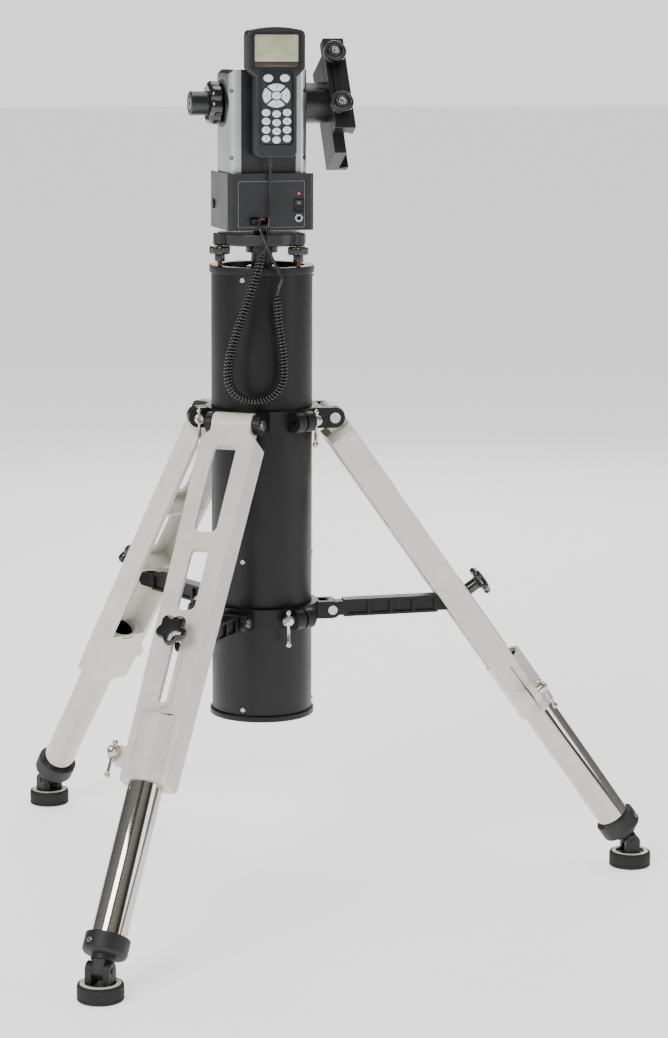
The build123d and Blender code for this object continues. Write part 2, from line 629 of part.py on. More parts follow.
def foot(number, azimuth):
    """A foot: the rubber pad with its white retaining ring, and the swivel that the tongue turns in."""
    centre = towards(azimuth, FOOT_RADIUS, 0)
    floor = Plane(origin=centre, x_dir=towards(azimuth, 1.0), z_dir=(0, 0, 1))
    with BuildPart() as pad:
        with BuildSketch(floor):
            Circle(PAD_RADIUS)
        extrude(amount=PAD_HEIGHT)
        with BuildSketch(floor.offset(PAD_HEIGHT - PAD_RECESS)):
            Circle(WHITE_RING_RADII[1])
        extrude(amount=PAD_RECESS, mode=Mode.SUBTRACT)
        with BuildSketch(floor.offset(PAD_HEIGHT - WHITE_RING_HEIGHT)):
            Circle(WHITE_RING_RADII[1] - SEAT_GAP)
            Circle(WHITE_RING_RADII[0], mode=Mode.SUBTRACT)
        extrude(amount=WHITE_RING_HEIGHT)
    save(pad, f"foot_{number}_pad")
    pivot = radial_plane(azimuth, FOOT_RADIUS, FOOT_HEIGHT)
    base_top = PAD_HEIGHT - WHITE_RING_HEIGHT - SEAT_GAP
    with BuildPart() as swivel:
        with BuildSketch(floor.offset(PAD_HEIGHT - PAD_RECESS)):
            Circle(WHITE_RING_RADII[1] - SEAT_GAP)
        extrude(amount=base_top - PAD_HEIGHT + PAD_RECESS)
        with BuildSketch(pivot):
            Circle(KNUCKLE_RADIUS)
            with Locations((0, (base_top - FOOT_HEIGHT) / 2)):
                Rectangle(2 * KNUCKLE_RADIUS, FOOT_HEIGHT - base_top)
        extrude(amount=FOOT_EAR_OUTER, both=True)
        with BuildSketch(pivot):
            with Locations((0, (base_top - FOOT_HEIGHT + KNUCKLE_RADIUS) / 2 + 1)):
                Rectangle(3 * KNUCKLE_RADIUS, FOOT_HEIGHT + KNUCKLE_RADIUS - base_top)
        extrude(amount=KNUCKLE_HALF + BODY_GAP, both=True, mode=Mode.SUBTRACT)
        with BuildSketch(pivot):
            Circle(FOOT_PIN_RADIUS)
        extrude(amount=FOOT_EAR_OUTER + 1.5, both=True)
    save(swivel, f"foot_{number}_swivel")


def brace_arm(number, azimuth):
    """A spreader arm: a pocketed beam, hinged on the lower ring and forked round the knob's slide block."""
    plane = radial_plane(azimuth, ARM_PIVOT_RADIUS, ARM_PIVOT_HEIGHT, ARM_RISE)
    fork_half = SLIDE_BLOCK[1] / 2 + 3 * BODY_GAP
    fork_start = ARM_LENGTH - 24
    pocket_pitch = (fork_start - 2 * ARM_HALF_HEIGHT) / ARM_POCKETS
    with BuildPart() as arm:
        with BuildSketch(plane):
            Circle(ARM_HALF_HEIGHT)
            with Locations((ARM_LENGTH / 2, 0)):
                Rectangle(ARM_LENGTH, 2 * ARM_HALF_HEIGHT - 5)
            with Locations(((fork_start + ARM_HALF_HEIGHT + 6) / 2, 0)):
                Rectangle(fork_start - ARM_HALF_HEIGHT - 6, 2 * ARM_HALF_HEIGHT)
            with Locations((ARM_LENGTH, 0)):
                Circle(ARM_HALF_HEIGHT - 2.5)
        extrude(amount=ARM_HALF_WIDTH, both=True)
        for side in (-1, 1):
            with BuildSketch(plane.offset(side * ARM_HALF_WIDTH)):
                for pocket in range(ARM_POCKETS):
                    with Locations((2 * ARM_HALF_HEIGHT - 3 + pocket_pitch * (pocket + 0.5), 0)):
                        Rectangle(pocket_pitch - 5, 2 * ARM_HALF_HEIGHT - 8)
            extrude(amount=-side * ARM_POCKET_DEPTH, mode=Mode.SUBTRACT)
        with BuildSketch(plane):
            with Locations((ARM_LENGTH + 2, 0)):
                Rectangle(40, 3 * ARM_HALF_HEIGHT)
        extrude(amount=fork_half, both=True, mode=Mode.SUBTRACT)
        with BuildSketch(plane):
            Circle(ARM_PIN_RADIUS + RUNNING)
        extrude(amount=ARM_HALF_WIDTH + 1, both=True, mode=Mode.SUBTRACT)
    save(arm, f"brace_arm_{number}")


def star_knob(number, leg):
    """A five-lobed knob on its stud, with the block that slides behind the leg's slot."""
    length, width, depth = SLIDE_BLOCK
    with BuildPart() as knob:
        with BuildSketch(leg.offset(STAR_HEAD_START)):
            with Locations((KNOB_PLACE, 0)):
                Circle(STAR_HUB_RADIUS)
                with PolarLocations(STAR_HUB_RADIUS - 2, 5):
                    Circle(STAR_LOBE_RADIUS)
        extrude(amount=STAR_HEAD)
        with BuildSketch(leg.offset(STAR_SEAT)):
            with Locations((KNOB_PLACE, 0)):
                Circle(STAR_STEM_RADIUS)
        extrude(amount=STAR_HEAD_START - STAR_SEAT)
        with BuildSketch(leg.offset(KNOB_BLOCK_CENTRE)):
            with Locations((KNOB_PLACE, 0)):
                Circle(STAR_STUD_RADIUS)
        extrude(amount=STAR_SEAT - KNOB_BLOCK_CENTRE)
        with BuildSketch(leg.offset(KNOB_BLOCK_CENTRE - depth / 2)):
            with Locations((KNOB_PLACE, 0)):
                Rectangle(length, width)
        extrude(amount=depth)
    save(knob, f"star_knob_{number}")


for number, azimuth in enumerate(LEG_AZIMUTHS, 1):
    leg = leg_plane(azimuth)
    leg_casting(number, leg)
    leg_tube(number, leg)
    leg_boot(number, leg)
    foot(number, azimuth)
    brace_arm(number, azimuth)
    star_knob(number, leg)
    clamp_face = Plane(origin=leg.from_local_coords((CLAMP_PLACE, -CLAMP_OFFSET, CLAMP_LUG_HALF)),
                       x_dir=leg.x_dir, z_dir=leg.z_dir)
    t_bolt(f"leg_clamp_{number}", clamp_face, 2 * CLAMP_LUG_HALF)

# ==== levelling base ====
LEVEL_PLACES = PolarLocations(LEVEL_RADIUS, 3, LEVEL_AZIMUTH)

with BuildPart() as levelling_plate:
    with BuildSketch(Plane.XY.offset(PLATE_BOTTOM)):
        Circle(PLATE_RADIUS)
        with LEVEL_PLACES:
            Circle(LEVEL_LOBE_RADIUS)
            with Locations((-LEVEL_LOBE_RADIUS, 0)):
                Rectangle(2 * LEVEL_LOBE_RADIUS, 2 * LEVEL_LOBE_RADIUS)
    extrude(amount=PLATE_TOP - PLATE_BOTTOM)
    chamfer(levelling_plate.faces().sort_by(Axis.Z)[0].edges(), length=2)
    with BuildSketch(Plane.XY.offset(PLATE_BOTTOM - 1)):
        with LEVEL_PLACES:
            Circle(LEVEL_STUD_RADIUS + RUNNING)
        Circle(SPINDLE_RADIUS + RUNNING)
    extrude(amount=PLATE_TOP - PLATE_BOTTOM + 2, mode=Mode.SUBTRACT)
save(levelling_plate, "levelling_plate")

with BuildPart() as centre_post:
    floor = PIER_TOP - CAP_RECESS
    with BuildSketch(Plane.XY.offset(floor - 2 * CAP_PLATE)):
        Circle(POST_RADIUS)
    extrude(amount=PLATE_BOTTOM - floor + 2 * CAP_PLATE)
    with BuildSketch(Plane.XY.offset(floor)):
        RegularPolygon(POST_RADIUS + 8, 6)
    extrude(amount=CAP_RECESS - 2)
    with BuildSketch(Plane.XY.offset(PLATE_BOTTOM - COLLAR)):
        Circle(COLLAR_RADIUS)
    extrude(amount=COLLAR)
    with BuildSketch(Plane.XY.offset(PLATE_BOTTOM)):
        Circle(SPINDLE_RADIUS)
    extrude(amount=SPINDLE_TOP - PLATE_BOTTOM)
save(centre_post, "centre_post")

for number, place in enumerate(LEVEL_PLACES.locations, 1):
    knob_top = PLATE_BOTTOM - 1.0
    x, y = place.position.X, place.position.Y
    with BuildPart() as levelling_knob:
        with BuildSketch(Plane((x, y, knob_top - LEVEL_KNOB))):
            Circle(LEVEL_KNOB_RADIUS - 1.5)
            with PolarLocations(LEVEL_KNOB_RADIUS - 3, 8):
                Circle(3)
        extrude(amount=LEVEL_KNOB)
        with BuildSketch(Plane((x, y, knob_top - LEVEL_KNOB - LEVEL_STEM))):
            Circle(LEVEL_STEM_RADIUS)
        extrude(amount=LEVEL_STEM)
        with BuildSketch(Plane((x, y, PIER_TOP + BODY_GAP))):
            Circle(LEVEL_STUD_RADIUS)
        extrude(amount=PLATE_TOP - 2 - PIER_TOP)
    save(levelling_knob, f"levelling_knob_{number}")

# ==== base box ====
FRONT = lying(0, BOX_FRONT, 0)


def control_outlines(grow=0.0):
    """The outlines of the two sockets, the power jack and the rocker switch, each larger by grow."""
    for port in PORTS_X:
        with Locations((port, PORT_HEIGHT)):
            Rectangle(PORT_SIZE[0] + grow, PORT_SIZE[1] + grow)
    with Locations((CONTROLS_X, JACK_HEIGHT)):
        Circle(JACK_RADIUS + grow / 2)
    with Locations((CONTROLS_X, SWITCH_HEIGHT)):
        Rectangle(SWITCH_SIZE[0] + grow, SWITCH_SIZE[1] + grow)


with BuildPart() as base_box:
    with BuildSketch(Plane.XY.offset(BOX_BOTTOM)):
        RectangleRounded(BOX_WIDTH, BOX_DEPTH, BOX_CORNER)
    extrude(amount=BOX_TOP - BOX_BOTTOM)
    with BuildSketch(Plane.XY.offset(BOX_BOTTOM + BOX_WALL)):
        RectangleRounded(BOX_WIDTH - 2 * BOX_WALL, BOX_DEPTH - 2 * BOX_WALL, BOX_CORNER - 2)
    extrude(amount=BOX_TOP - BOX_BOTTOM - 2 * BOX_WALL, mode=Mode.SUBTRACT)
    with BuildSketch(Plane.XY.offset(BOX_BOTTOM)):
        Circle(SPINDLE_RADIUS + 14)
    extrude(amount=SPINDLE_TOP - BOX_BOTTOM - 4)
    with BuildSketch(Plane.XY.offset(BOX_BOTTOM - 1)):
        Circle(SPINDLE_RADIUS + RUNNING)
    extrude(amount=SPINDLE_TOP - BOX_BOTTOM + 2, mode=Mode.SUBTRACT)
    with BuildSketch(FRONT):
        with Locations((0, (PANEL_TOP + PANEL_BOTTOM) / 2)):
            Rectangle(PANEL_WIDTH + 2 * SEAT_GAP, PANEL_TOP - PANEL_BOTTOM + 2 * SEAT_GAP)
    extrude(amount=-PANEL_RECESS - PANEL_THICKNESS, mode=Mode.SUBTRACT)
    with BuildSketch(FRONT):
        control_outlines(grow=4.0)
    extrude(amount=-BOX_WALL - 1, mode=Mode.SUBTRACT)
    with BuildSketch(Plane(origin=(-BOX_WIDTH / 2, LOCK_DISC[0], BOX_BOTTOM + LOCK_DISC[1]), x_dir=(0, 1, 0),
                           z_dir=(-1, 0, 0))):
        Circle(LOCK_DISC[2])
    extrude(amount=2.5)
save(base_box, "base_box")

with BuildPart() as front_panel:
    with BuildSketch(lying(0, PANEL_FACE, 0)):
        with Locations((0, (PANEL_TOP + PANEL_BOTTOM) / 2)):
            Rectangle(PANEL_WIDTH, PANEL_TOP - PANEL_BOTTOM)
    extrude(amount=-PANEL_THICKNESS)
    with BuildSketch(lying(0, PANEL_FACE + PANEL_THICKNESS, 0)):
        for port in PORTS_X:
            with Locations((port, PORT_HEIGHT)):
                Rectangle(PORT_SIZE[0] + 3, PORT_SIZE[1] + 3)
        with Locations((CONTROLS_X, JACK_HEIGHT)):
            Circle(JACK_RADIUS + 1.5)
    extrude(amount=-PORT_DEPTH)
    with BuildSketch(lying(0, PANEL_FACE, 0)):
        control_outlines()
    extrude(amount=-PORT_DEPTH, mode=Mode.SUBTRACT)
    with BuildSketch(lying(CONTROLS_X, PANEL_FACE, JACK_HEIGHT)):
        Circle(JACK_RADIUS)
        Circle(JACK_BORE, mode=Mode.SUBTRACT)
    extrude(amount=-PORT_DEPTH)
    with BuildSketch(lying(CONTROLS_X, PANEL_FACE, LED_HEIGHT)):
        Circle(LED_RADIUS)
    extrude(amount=1.0)
save(front_panel, "front_panel")

with BuildPart() as power_switch:
    switch_side = Plane(origin=(CONTROLS_X, PANEL_FACE, SWITCH_HEIGHT), x_dir=(0, -1, 0), z_dir=(1, 0, 0))
    switch_reach = SWITCH_SIZE[1] / 2 - 3 * BODY_GAP
    with BuildSketch(switch_side):
        with BuildLine():
            Polyline((-3, -switch_reach + 1), (1.0, -switch_reach), (0.3, 0), (2.6, switch_reach),
                     (-3, switch_reach - 1), close=True)
        make_face()
        with Locations((-SWITCH_PIVOT[0], 0)):
            Circle(SWITCH_PIVOT[1])
    extrude(amount=SWITCH_SIZE[0] / 2 - BODY_GAP, both=True)
save(power_switch, "power_switch")

# ==== tower ====
with BuildPart() as side_panels:
    with BuildSketch(Plane.XY.offset(TOWER_BOTTOM)):
        RectangleRounded(TOWER_WIDTH, TOWER_DEPTH, TOWER_CORNER)
        RectangleRounded(TOWER_WIDTH - 2 * PANEL_SHEET, TOWER_DEPTH - 2 * PANEL_SHEET, TOWER_CORNER - PANEL_SHEET,
                         mode=Mode.SUBTRACT)
        Rectangle(FRONT_PLATE_WIDTH, TOWER_DEPTH + 2, mode=Mode.SUBTRACT)
    extrude(amount=TOWER_TOP - TOWER_BOTTOM)
    with BuildSketch(Plane.XZ.offset(-TOWER_DEPTH)):
        with Locations((0, TOWER_TOP - TOWER_WIDTH)):
            RectangleRounded(TOWER_WIDTH, 2 * TOWER_WIDTH, TOWER_CORNER)
    extrude(amount=2 * TOWER_DEPTH, mode=Mode.INTERSECT)
    for side, hole in ((-1, FLANGE_RADIUS + SEAT_GAP), (1, HUB_HOLE_RADIUS)):
        with BuildSketch(Plane.YZ):
            with Locations((0, ALTITUDE_HEIGHT)):
                Circle(hole)
        extrude(amount=side * TOWER_WIDTH, mode=Mode.SUBTRACT)
save(side_panels, "side_panels")

with BuildPart() as tower_body:
    inner = PANEL_SHEET + SEAT_GAP
    with BuildSketch(Plane.XY.offset(TOWER_BOTTOM)):
        RectangleRounded(TOWER_WIDTH - 2 * inner, TOWER_DEPTH - 2 * inner, TOWER_CORNER - inner)
        Rectangle(FRONT_PLATE_WIDTH - 2 * SEAT_GAP, TOWER_DEPTH)
    extrude(amount=TOWER_TOP - TOWER_BOTTOM)
    with BuildSketch(Plane.XZ.offset(-TOWER_DEPTH)):
        with Locations((0, TOWER_TOP - TOWER_WIDTH)):
            RectangleRounded(TOWER_WIDTH - 2 * inner, 2 * TOWER_WIDTH, TOWER_CORNER - inner)
    extrude(amount=2 * TOWER_DEPTH, mode=Mode.INTERSECT)
    with BuildSketch(Plane.XY.offset(TOWER_BOTTOM + TOWER_WALL)):
        Rectangle(TOWER_WIDTH - 2 * inner - 2 * TOWER_WALL, TOWER_DEPTH - 2 * inner - 2 * TOWER_WALL)
    extrude(amount=TOWER_TOP - TOWER_BOTTOM - 2 * TOWER_WALL, mode=Mode.SUBTRACT)
    with BuildSketch(Plane.YZ.offset(-FLANGE_FACE)):
        with Locations((0, ALTITUDE_HEIGHT)):
            Circle(FLANGE_RADIUS)
    extrude(amount=FLANGE + inner + TOWER_WALL)
    with BuildSketch(Plane.YZ.offset(-TOWER_WIDTH)):
        with Locations((0, ALTITUDE_HEIGHT)):
            Circle(SHAFT_RADIUS + RUNNING)
    extrude(amount=2 * TOWER_WIDTH, mode=Mode.SUBTRACT)
save(tower_body, "tower_body")

# ==== altitude axis ====
with BuildPart() as altitude_shaft:
    with BuildSketch(Plane.YZ.offset(-SLEEVE_START)):
        with Locations((0, ALTITUDE_HEIGHT)):
            Circle(SHAFT_RADIUS)
    extrude(amount=SLEEVE_START + HUB_END)
    with BuildSketch(Plane.YZ.offset(TOWER_WIDTH / 2 + BODY_GAP)):
        with Locations((0, ALTITUDE_HEIGHT)):
            Circle(HUB_RADIUS)
    extrude(amount=HUB_END - TOWER_WIDTH / 2 - BODY_GAP)
    with BuildSketch(Plane.YZ.offset(-SLEEVE_END)):
        with Locations((0, ALTITUDE_HEIGHT)):
            Circle(SLEEVE_RADIUS)
    extrude(amount=SLEEVE_END - SLEEVE_START)
    chamfer(altitude_shaft.faces().sort_by(Axis.X)[0].edges(), length=1.5)
    with BuildSketch(Plane.YZ.offset(-SLEEVE_END)):
        with Locations((0, ALTITUDE_HEIGHT)):
            Circle(SOCKET_RADIUS)
    extrude(amount=SOCKET_DEPTH, mode=Mode.SUBTRACT)
save(altitude_shaft, "altitude_shaft")

with BuildPart() as clutch_knob:
    with BuildSketch(Plane.YZ.offset(-CLUTCH_START - CLUTCH_THICKNESS)):
        with Locations((0, ALTITUDE_HEIGHT)):
            Circle(CLUTCH_RADIUS - 4.5)
            with PolarLocations(CLUTCH_RADIUS - 9, CLUTCH_LOBES):
                Circle(9)
            Circle(SHAFT_RADIUS + RUNNING, mode=Mode.SUBTRACT)
    extrude(amount=CLUTCH_THICKNESS)
save(clutch_knob, "clutch_knob")

# ==== saddle ====
TILT = radians(SADDLE_TILT)


def saddle_plane(x):
    """The saddle's plane at one x: its own x up along the saddle, its y to the front and up."""
    return Plane(origin=(x, 0, ALTITUDE_HEIGHT), x_dir=(0, sin(TILT), cos(TILT)), z_dir=(1, 0, 0))


def square_plane(along):
    """Plane square to the saddle at one place along it: its x to the front and up, its y along +X."""
    origin = saddle_plane(0).from_local_coords((along, 0, 0))
    return Plane(origin=origin, x_dir=(0, -cos(TILT), sin(TILT)), z_dir=(0, sin(TILT), cos(TILT)))


with BuildPart() as saddle_plate:
    low, high = SADDLE_EDGES
    with BuildSketch(square_plane(SADDLE_SPAN[0])):
        Polygon((low, HUB_END), (high, HUB_END), (high, SADDLE_BED), (low + 10 - DOVETAIL_LEAN, SADDLE_BED),
                (low + 10, SADDLE_FACE), (low, SADDLE_FACE), align=None)
    extrude(amount=SADDLE_SPAN[1] - SADDLE_SPAN[0])
    for place in JAW_KNOBS:
        origin = saddle_plane(JAW_SCREW_X).from_local_coords((place, high, 0))
        with BuildSketch(Plane(origin=origin, x_dir=(1, 0, 0), z_dir=(0, -cos(TILT), sin(TILT)))):
            Circle(JAW_SCREW_RADIUS + JAW_SCREW_PLAY)
        extrude(amount=-JAW_SCREW_DEPTH - 4, mode=Mode.SUBTRACT)
save(saddle_plate, "saddle_plate")

with BuildPart() as saddle_jaw:
    inner_face = SADDLE_EDGES[1] + BODY_GAP
    outer_face = inner_face + JAW_WIDTH
    with BuildSketch(square_plane(JAW_SPAN[0])):
        Polygon((inner_face, HUB_END), (outer_face, HUB_END), (outer_face, SADDLE_FACE), (inner_face - 2, SADDLE_FACE),
                (inner_face + DOVETAIL_LEAN, SADDLE_BED + 1), (inner_face, SADDLE_BED + 1), align=None)
    extrude(amount=JAW_SPAN[1] - JAW_SPAN[0])
    for place in JAW_KNOBS:
        origin = saddle_plane(JAW_SCREW_X).from_local_coords((place, outer_face, 0))
        with BuildSketch(Plane(origin=origin, x_dir=(1, 0, 0), z_dir=(0, -cos(TILT), sin(TILT)))):
            Circle(JAW_SCREW_RADIUS + RUNNING)
        extrude(amount=-JAW_WIDTH - 1, mode=Mode.SUBTRACT)
save(saddle_jaw, "saddle_jaw")

for number, place in enumerate(JAW_KNOBS, 1):
    jaw_face = SADDLE_EDGES[1] + BODY_GAP + JAW_WIDTH + BODY_GAP
    origin = saddle_plane(JAW_SCREW_X).from_local_coords((place, jaw_face, 0))
    seat = Plane(origin=origin, x_dir=(1, 0, 0), z_dir=(0, -cos(TILT), sin(TILT)))
    with BuildPart() as jaw_knob:
        with BuildSketch(seat):
            Circle(JAW_SCREW_RADIUS)
        extrude(amount=-JAW_WIDTH - JAW_SCREW_DEPTH)
        with BuildSketch(seat):
            Circle(JAW_KNOB_RADIUS - 6)
        extrude(amount=JAW_COLLAR)
        with BuildSketch(seat.offset(JAW_COLLAR)):
            Circle(JAW_KNOB_RADIUS - 2)
            with PolarLocations(JAW_KNOB_RADIUS - 4, 9):
                Circle(4)
        extrude(amount=JAW_KNOB)
    save(jaw_knob, f"jaw_knob_{number}")

# ==== hand controller ====
CONTROLLER_FACE = lying(CONTROLLER_X, CONTROLLER_FRONT, 0)

with BuildPart() as controller_body:
    with BuildSketch(CONTROLLER_FACE) as outline:
        with Locations((0, (CONTROLLER_BOTTOM + CONTROLLER_NECK) / 2)):
            RectangleRounded(CONTROLLER_WIDTH, CONTROLLER_NECK - CONTROLLER_BOTTOM, 9)
        with BuildLine():
            half = CONTROLLER_HEAD_WIDTH / 2
            crown = CONTROLLER_TOP - HEAD_CROWN
            Polyline((-half, crown), (-half, CONTROLLER_NECK + 6), (-half + 12, CONTROLLER_NECK - 6),
                     (half - 12, CONTROLLER_NECK - 6), (half, CONTROLLER_NECK + 6), (half, crown))
            ThreePointArc((half, crown), (0, CONTROLLER_TOP), (-half, crown))
        make_face()
        fillet([corner for corner in outline.vertices() if corner.Y > crown - 1], radius=HEAD_CORNER)
    extrude(amount=-CONTROLLER_DEPTH)
    fillet(controller_body.faces().sort_by(Axis.Y)[0].edges(), radius=2.5)
    with BuildSketch(CONTROLLER_FACE):
        with Locations((0, KEY_FIELD_CENTRE)):
            RectangleRounded(KEY_FIELD[0], KEY_FIELD[1], 5)
    extrude(amount=-KEY_FIELD[2], mode=Mode.SUBTRACT)
    with BuildSketch(CONTROLLER_FACE):
        with Locations((0, SCREEN_CENTRE)):
            Rectangle(*SCREEN_SIZE)
    extrude(amount=-SCREEN_DEPTH, mode=Mode.SUBTRACT)
    with BuildSketch(Plane((CORD_X, CORD_Y, CONTROLLER_BOTTOM + 2))):
        Circle(RELIEF_RADIUS)
    extrude(amount=-RELIEF_LENGTH - 2)
save(controller_body, "controller_body")

with BuildPart() as controller_keys:
    sheet = lying(CONTROLLER_X, CONTROLLER_FRONT + KEY_SHEET + BODY_GAP, 0)
    with BuildSketch(sheet):
        with Locations((0, KEY_FIELD_CENTRE)):
            RectangleRounded(KEY_FIELD[0] - 4 * BODY_GAP, KEY_FIELD[1] - 4 * BODY_GAP, 4.6)
    extrude(amount=-KEY_SHEET / 2)
    with BuildSketch(sheet):
        with Locations(*[(side * TOP_KEY_OFFSET, TOP_KEY_HEIGHT) for side in (-1, 1)]):
            Ellipse(TOP_KEY[0] / 2, TOP_KEY[1] / 2)
        with Locations((0, ARROW_CENTRE)):
            Ellipse(*ARROW_RING)
            Ellipse(*ARROW_EYE, mode=Mode.SUBTRACT)
            for turn in (45, 135):
                Rectangle(3 * ARROW_RING[1], ARROW_GAP, rotation=turn, mode=Mode.SUBTRACT)
            Ellipse(CENTRE_KEY[0] / 2, CENTRE_KEY[1] / 2)
        for column in (-1, 0, 1):
            drop = NUMBER_DROP * (1 - abs(column))
            for row in range(4):
                with Locations((column * NUMBER_PITCH[0], NUMBER_TOP - row * NUMBER_PITCH[1] - drop)):
                    Ellipse(NUMBER_KEY[0] / 2, NUMBER_KEY[1] / 2)
    extrude(amount=KEY_SHEET + BODY_GAP + KEY_PROUD)
save(controller_keys, "controller_keys")

with BuildPart() as controller_holder:
    with BuildSketch(lying(CONTROLLER_X, CONTROLLER_FRONT + CONTROLLER_DEPTH, 0)):
        with Locations((0, HOLDER_CENTRE)):
            RectangleRounded(*HOLDER_SIZE, 4)
            Rectangle(HOLDER_SIZE[0] - 16, HOLDER_SIZE[1] - 16, mode=Mode.SUBTRACT)
    extrude(amount=-(TOWER_FRONT - CONTROLLER_FRONT - CONTROLLER_DEPTH))
save(controller_holder, "controller_holder")


# ==== controller cord ====
def bend_radii(route):
    """The largest tangent arc that each corner's two runs allow."""
    radii = []
    points = [Vector(*point) for point in route]
    for before, corner, after in zip(points, points[1:], points[2:]):
        turn = radians((corner - before).get_angle(after - corner))
        run = min((corner - before).length, (after - corner).length)
        radii.append(0.45 * run / tan(turn / 2))
    return radii


def cord_node(label, routes, radius):
    """One round tube along the runs and arcs of each route."""
    with BuildPart() as tubes:
        for heights in routes:
            route = [(x, y, BOX_BOTTOM + z) for x, y, z in heights]
            radii = bend_radii(route)
            with BuildLine() as path:
                FilletPolyline(*route, radius=radii)
            with BuildSketch(Plane(origin=path.line @ 0, z_dir=path.line % 0)):
                Circle(radius)
            sweep(path=path.line)
            print(f"{label}: {path.wire().length:.0f} mm long, radii " + ", ".join(f"{value:.0f}" for value in radii))
    save(tubes, label)


cord_node("cord_leads", [UPPER_LEAD_ROUTE, LOWER_LEAD_ROUTE], LEAD_RADIUS)
cord_node("cord_coil", [COIL_ROUTE], COIL_RADIUS)

with BuildPart() as cord_plug:
    plug_end = LOWER_LEAD_ROUTE[-1][1]
    with BuildSketch(lying(PORTS_X[0], plug_end, 0)):
        with Locations((0, PORT_HEIGHT)):
            RectangleRounded(PLUG_SIZE[0], PLUG_SIZE[1], 0.8)
    extrude(amount=-PLUG_SIZE[2])
save(cord_plug, "cord_plug")
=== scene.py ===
"""Looks of a star tracker mount: a motor-driven head with a corded hand controller, on a pier tripod.

Lengths are in millimetres in this file and become metres where a mesh is made. +Z is up, the pier's
axis is the Z axis, and the head's front faces -Y.
"""

import json
import math

import bmesh
import bpy
import numpy as np
from mathutils import Matrix, Vector

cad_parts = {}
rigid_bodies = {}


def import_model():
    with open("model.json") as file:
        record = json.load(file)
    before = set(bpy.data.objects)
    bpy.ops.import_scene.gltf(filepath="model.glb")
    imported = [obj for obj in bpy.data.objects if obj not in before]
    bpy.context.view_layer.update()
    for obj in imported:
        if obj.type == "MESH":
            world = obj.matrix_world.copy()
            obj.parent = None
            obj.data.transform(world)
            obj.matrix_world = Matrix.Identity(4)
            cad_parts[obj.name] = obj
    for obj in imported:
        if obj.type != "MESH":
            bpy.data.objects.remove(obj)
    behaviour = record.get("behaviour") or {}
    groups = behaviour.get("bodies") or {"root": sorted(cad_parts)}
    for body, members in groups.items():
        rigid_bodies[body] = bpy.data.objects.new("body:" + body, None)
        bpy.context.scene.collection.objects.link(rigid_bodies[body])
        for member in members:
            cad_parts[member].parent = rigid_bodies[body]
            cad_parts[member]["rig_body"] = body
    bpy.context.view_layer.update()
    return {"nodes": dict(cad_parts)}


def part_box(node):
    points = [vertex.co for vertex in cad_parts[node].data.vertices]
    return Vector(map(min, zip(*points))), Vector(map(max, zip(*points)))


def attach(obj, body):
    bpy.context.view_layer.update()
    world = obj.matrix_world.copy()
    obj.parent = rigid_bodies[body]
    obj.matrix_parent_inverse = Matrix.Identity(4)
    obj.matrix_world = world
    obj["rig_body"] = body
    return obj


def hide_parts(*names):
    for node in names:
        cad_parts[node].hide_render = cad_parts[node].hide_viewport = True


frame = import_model()
MM = 0.001

# ==== studio ====
# A pale floor that runs out of sight, a large soft box high on the left, a weaker one on the right,
# and a pale room whose two darker sides give the polished tubes something to mirror.


def linear(colour):
    """An sRGB hex colour as linear red, green, blue and alpha."""
    share = np.array([int(colour[place:place + 2], 16) for place in (1, 3, 5)]) / 255
    share = np.where(share <= 0.04045, share / 12.92, ((share + 0.055) / 1.055) ** 2.4)
    return (*(float(value) for value in share), 1.0)


def add(tree, kind, settings=None, links=None):
    """Adds a shader node, sets its properties or unlinked sockets, and links its sockets to outputs."""
    made = tree.nodes.new("ShaderNode" + kind)
    for key, value in (settings or {}).items():
        if isinstance(key, int) or key in made.inputs:
            made.inputs[key].default_value = value
        else:
            setattr(made, key, value)
    for key, output in (links or {}).items():
        tree.links.new(output, made.inputs[key])
    return made


def ramp(tree, source, stops):
    """A colour ramp of (place, hex colour) stops, read at the source."""
    made = add(tree, "ValToRGB", links={"Fac": source})
    while len(made.color_ramp.elements) < len(stops):
        made.color_ramp.elements.new(0.5)
    for element, (place, colour) in zip(made.color_ramp.elements, stops):
        element.position, element.color = place, linear(colour)
    return made.outputs["Color"]


world = bpy.data.worlds.new("studio")
bpy.context.scene.world = world
world.use_nodes = True
tree = world.node_tree
tree.nodes.clear()
way = add(tree, "SeparateXYZ", links={0: add(tree, "TexCoord").outputs["Generated"]})
turn = add(tree, "Math", {"operation": "ARCTAN2"}, {0: way.outputs["Y"], 1: way.outputs["X"]})
share = add(tree, "MapRange", {"From Min": -math.pi, "From Max": math.pi}, {"Value": turn.outputs[0]})
room = ramp(tree, share.outputs[0], [(0.0, "#E4E2DE"), (0.10, "#D8D6D2"), (0.17, "#4A4641"), (0.22, "#F4F2EE"),
                                     (0.30, "#DAD8D4"), (0.36, "#5A4A3A"), (0.42, "#EFEDE9"), (0.62, "#B9B6B1"),
                                     (0.80, "#8E8B86"), (1.0, "#E4E2DE")])
seen = add(tree, "LightPath").outputs["Is Camera Ray"]
shown = add(tree, "Mix", {"data_type": "RGBA", 7: linear("#FFFFFF")}, {0: seen, 6: room})
strength = add(tree, "MapRange", {"To Min": 0.42, "To Max": 1.45}, {"Value": seen})
light = add(tree, "Background", links={"Color": shown.outputs[2], "Strength": strength.outputs[0]})
add(tree, "OutputWorld", links={"Surface": light.outputs[0]})


def soft_box(name, place, aim, size, power):
    """A white rectangular area light of that size in metres, aimed at a point."""
    lamp = bpy.data.lights.new(name, "AREA")
    lamp.shape, lamp.size, lamp.size_y = "RECTANGLE", *size
    lamp.energy = power
    made = bpy.data.objects.new(name, lamp)
    bpy.context.scene.collection.objects.link(made)
    made.location = place
    toward = np.array(aim) - np.array(place)
    made.rotation_mode = "QUATERNION"
    made.rotation_quaternion = Vector(toward).to_track_quat("-Z", "Y")


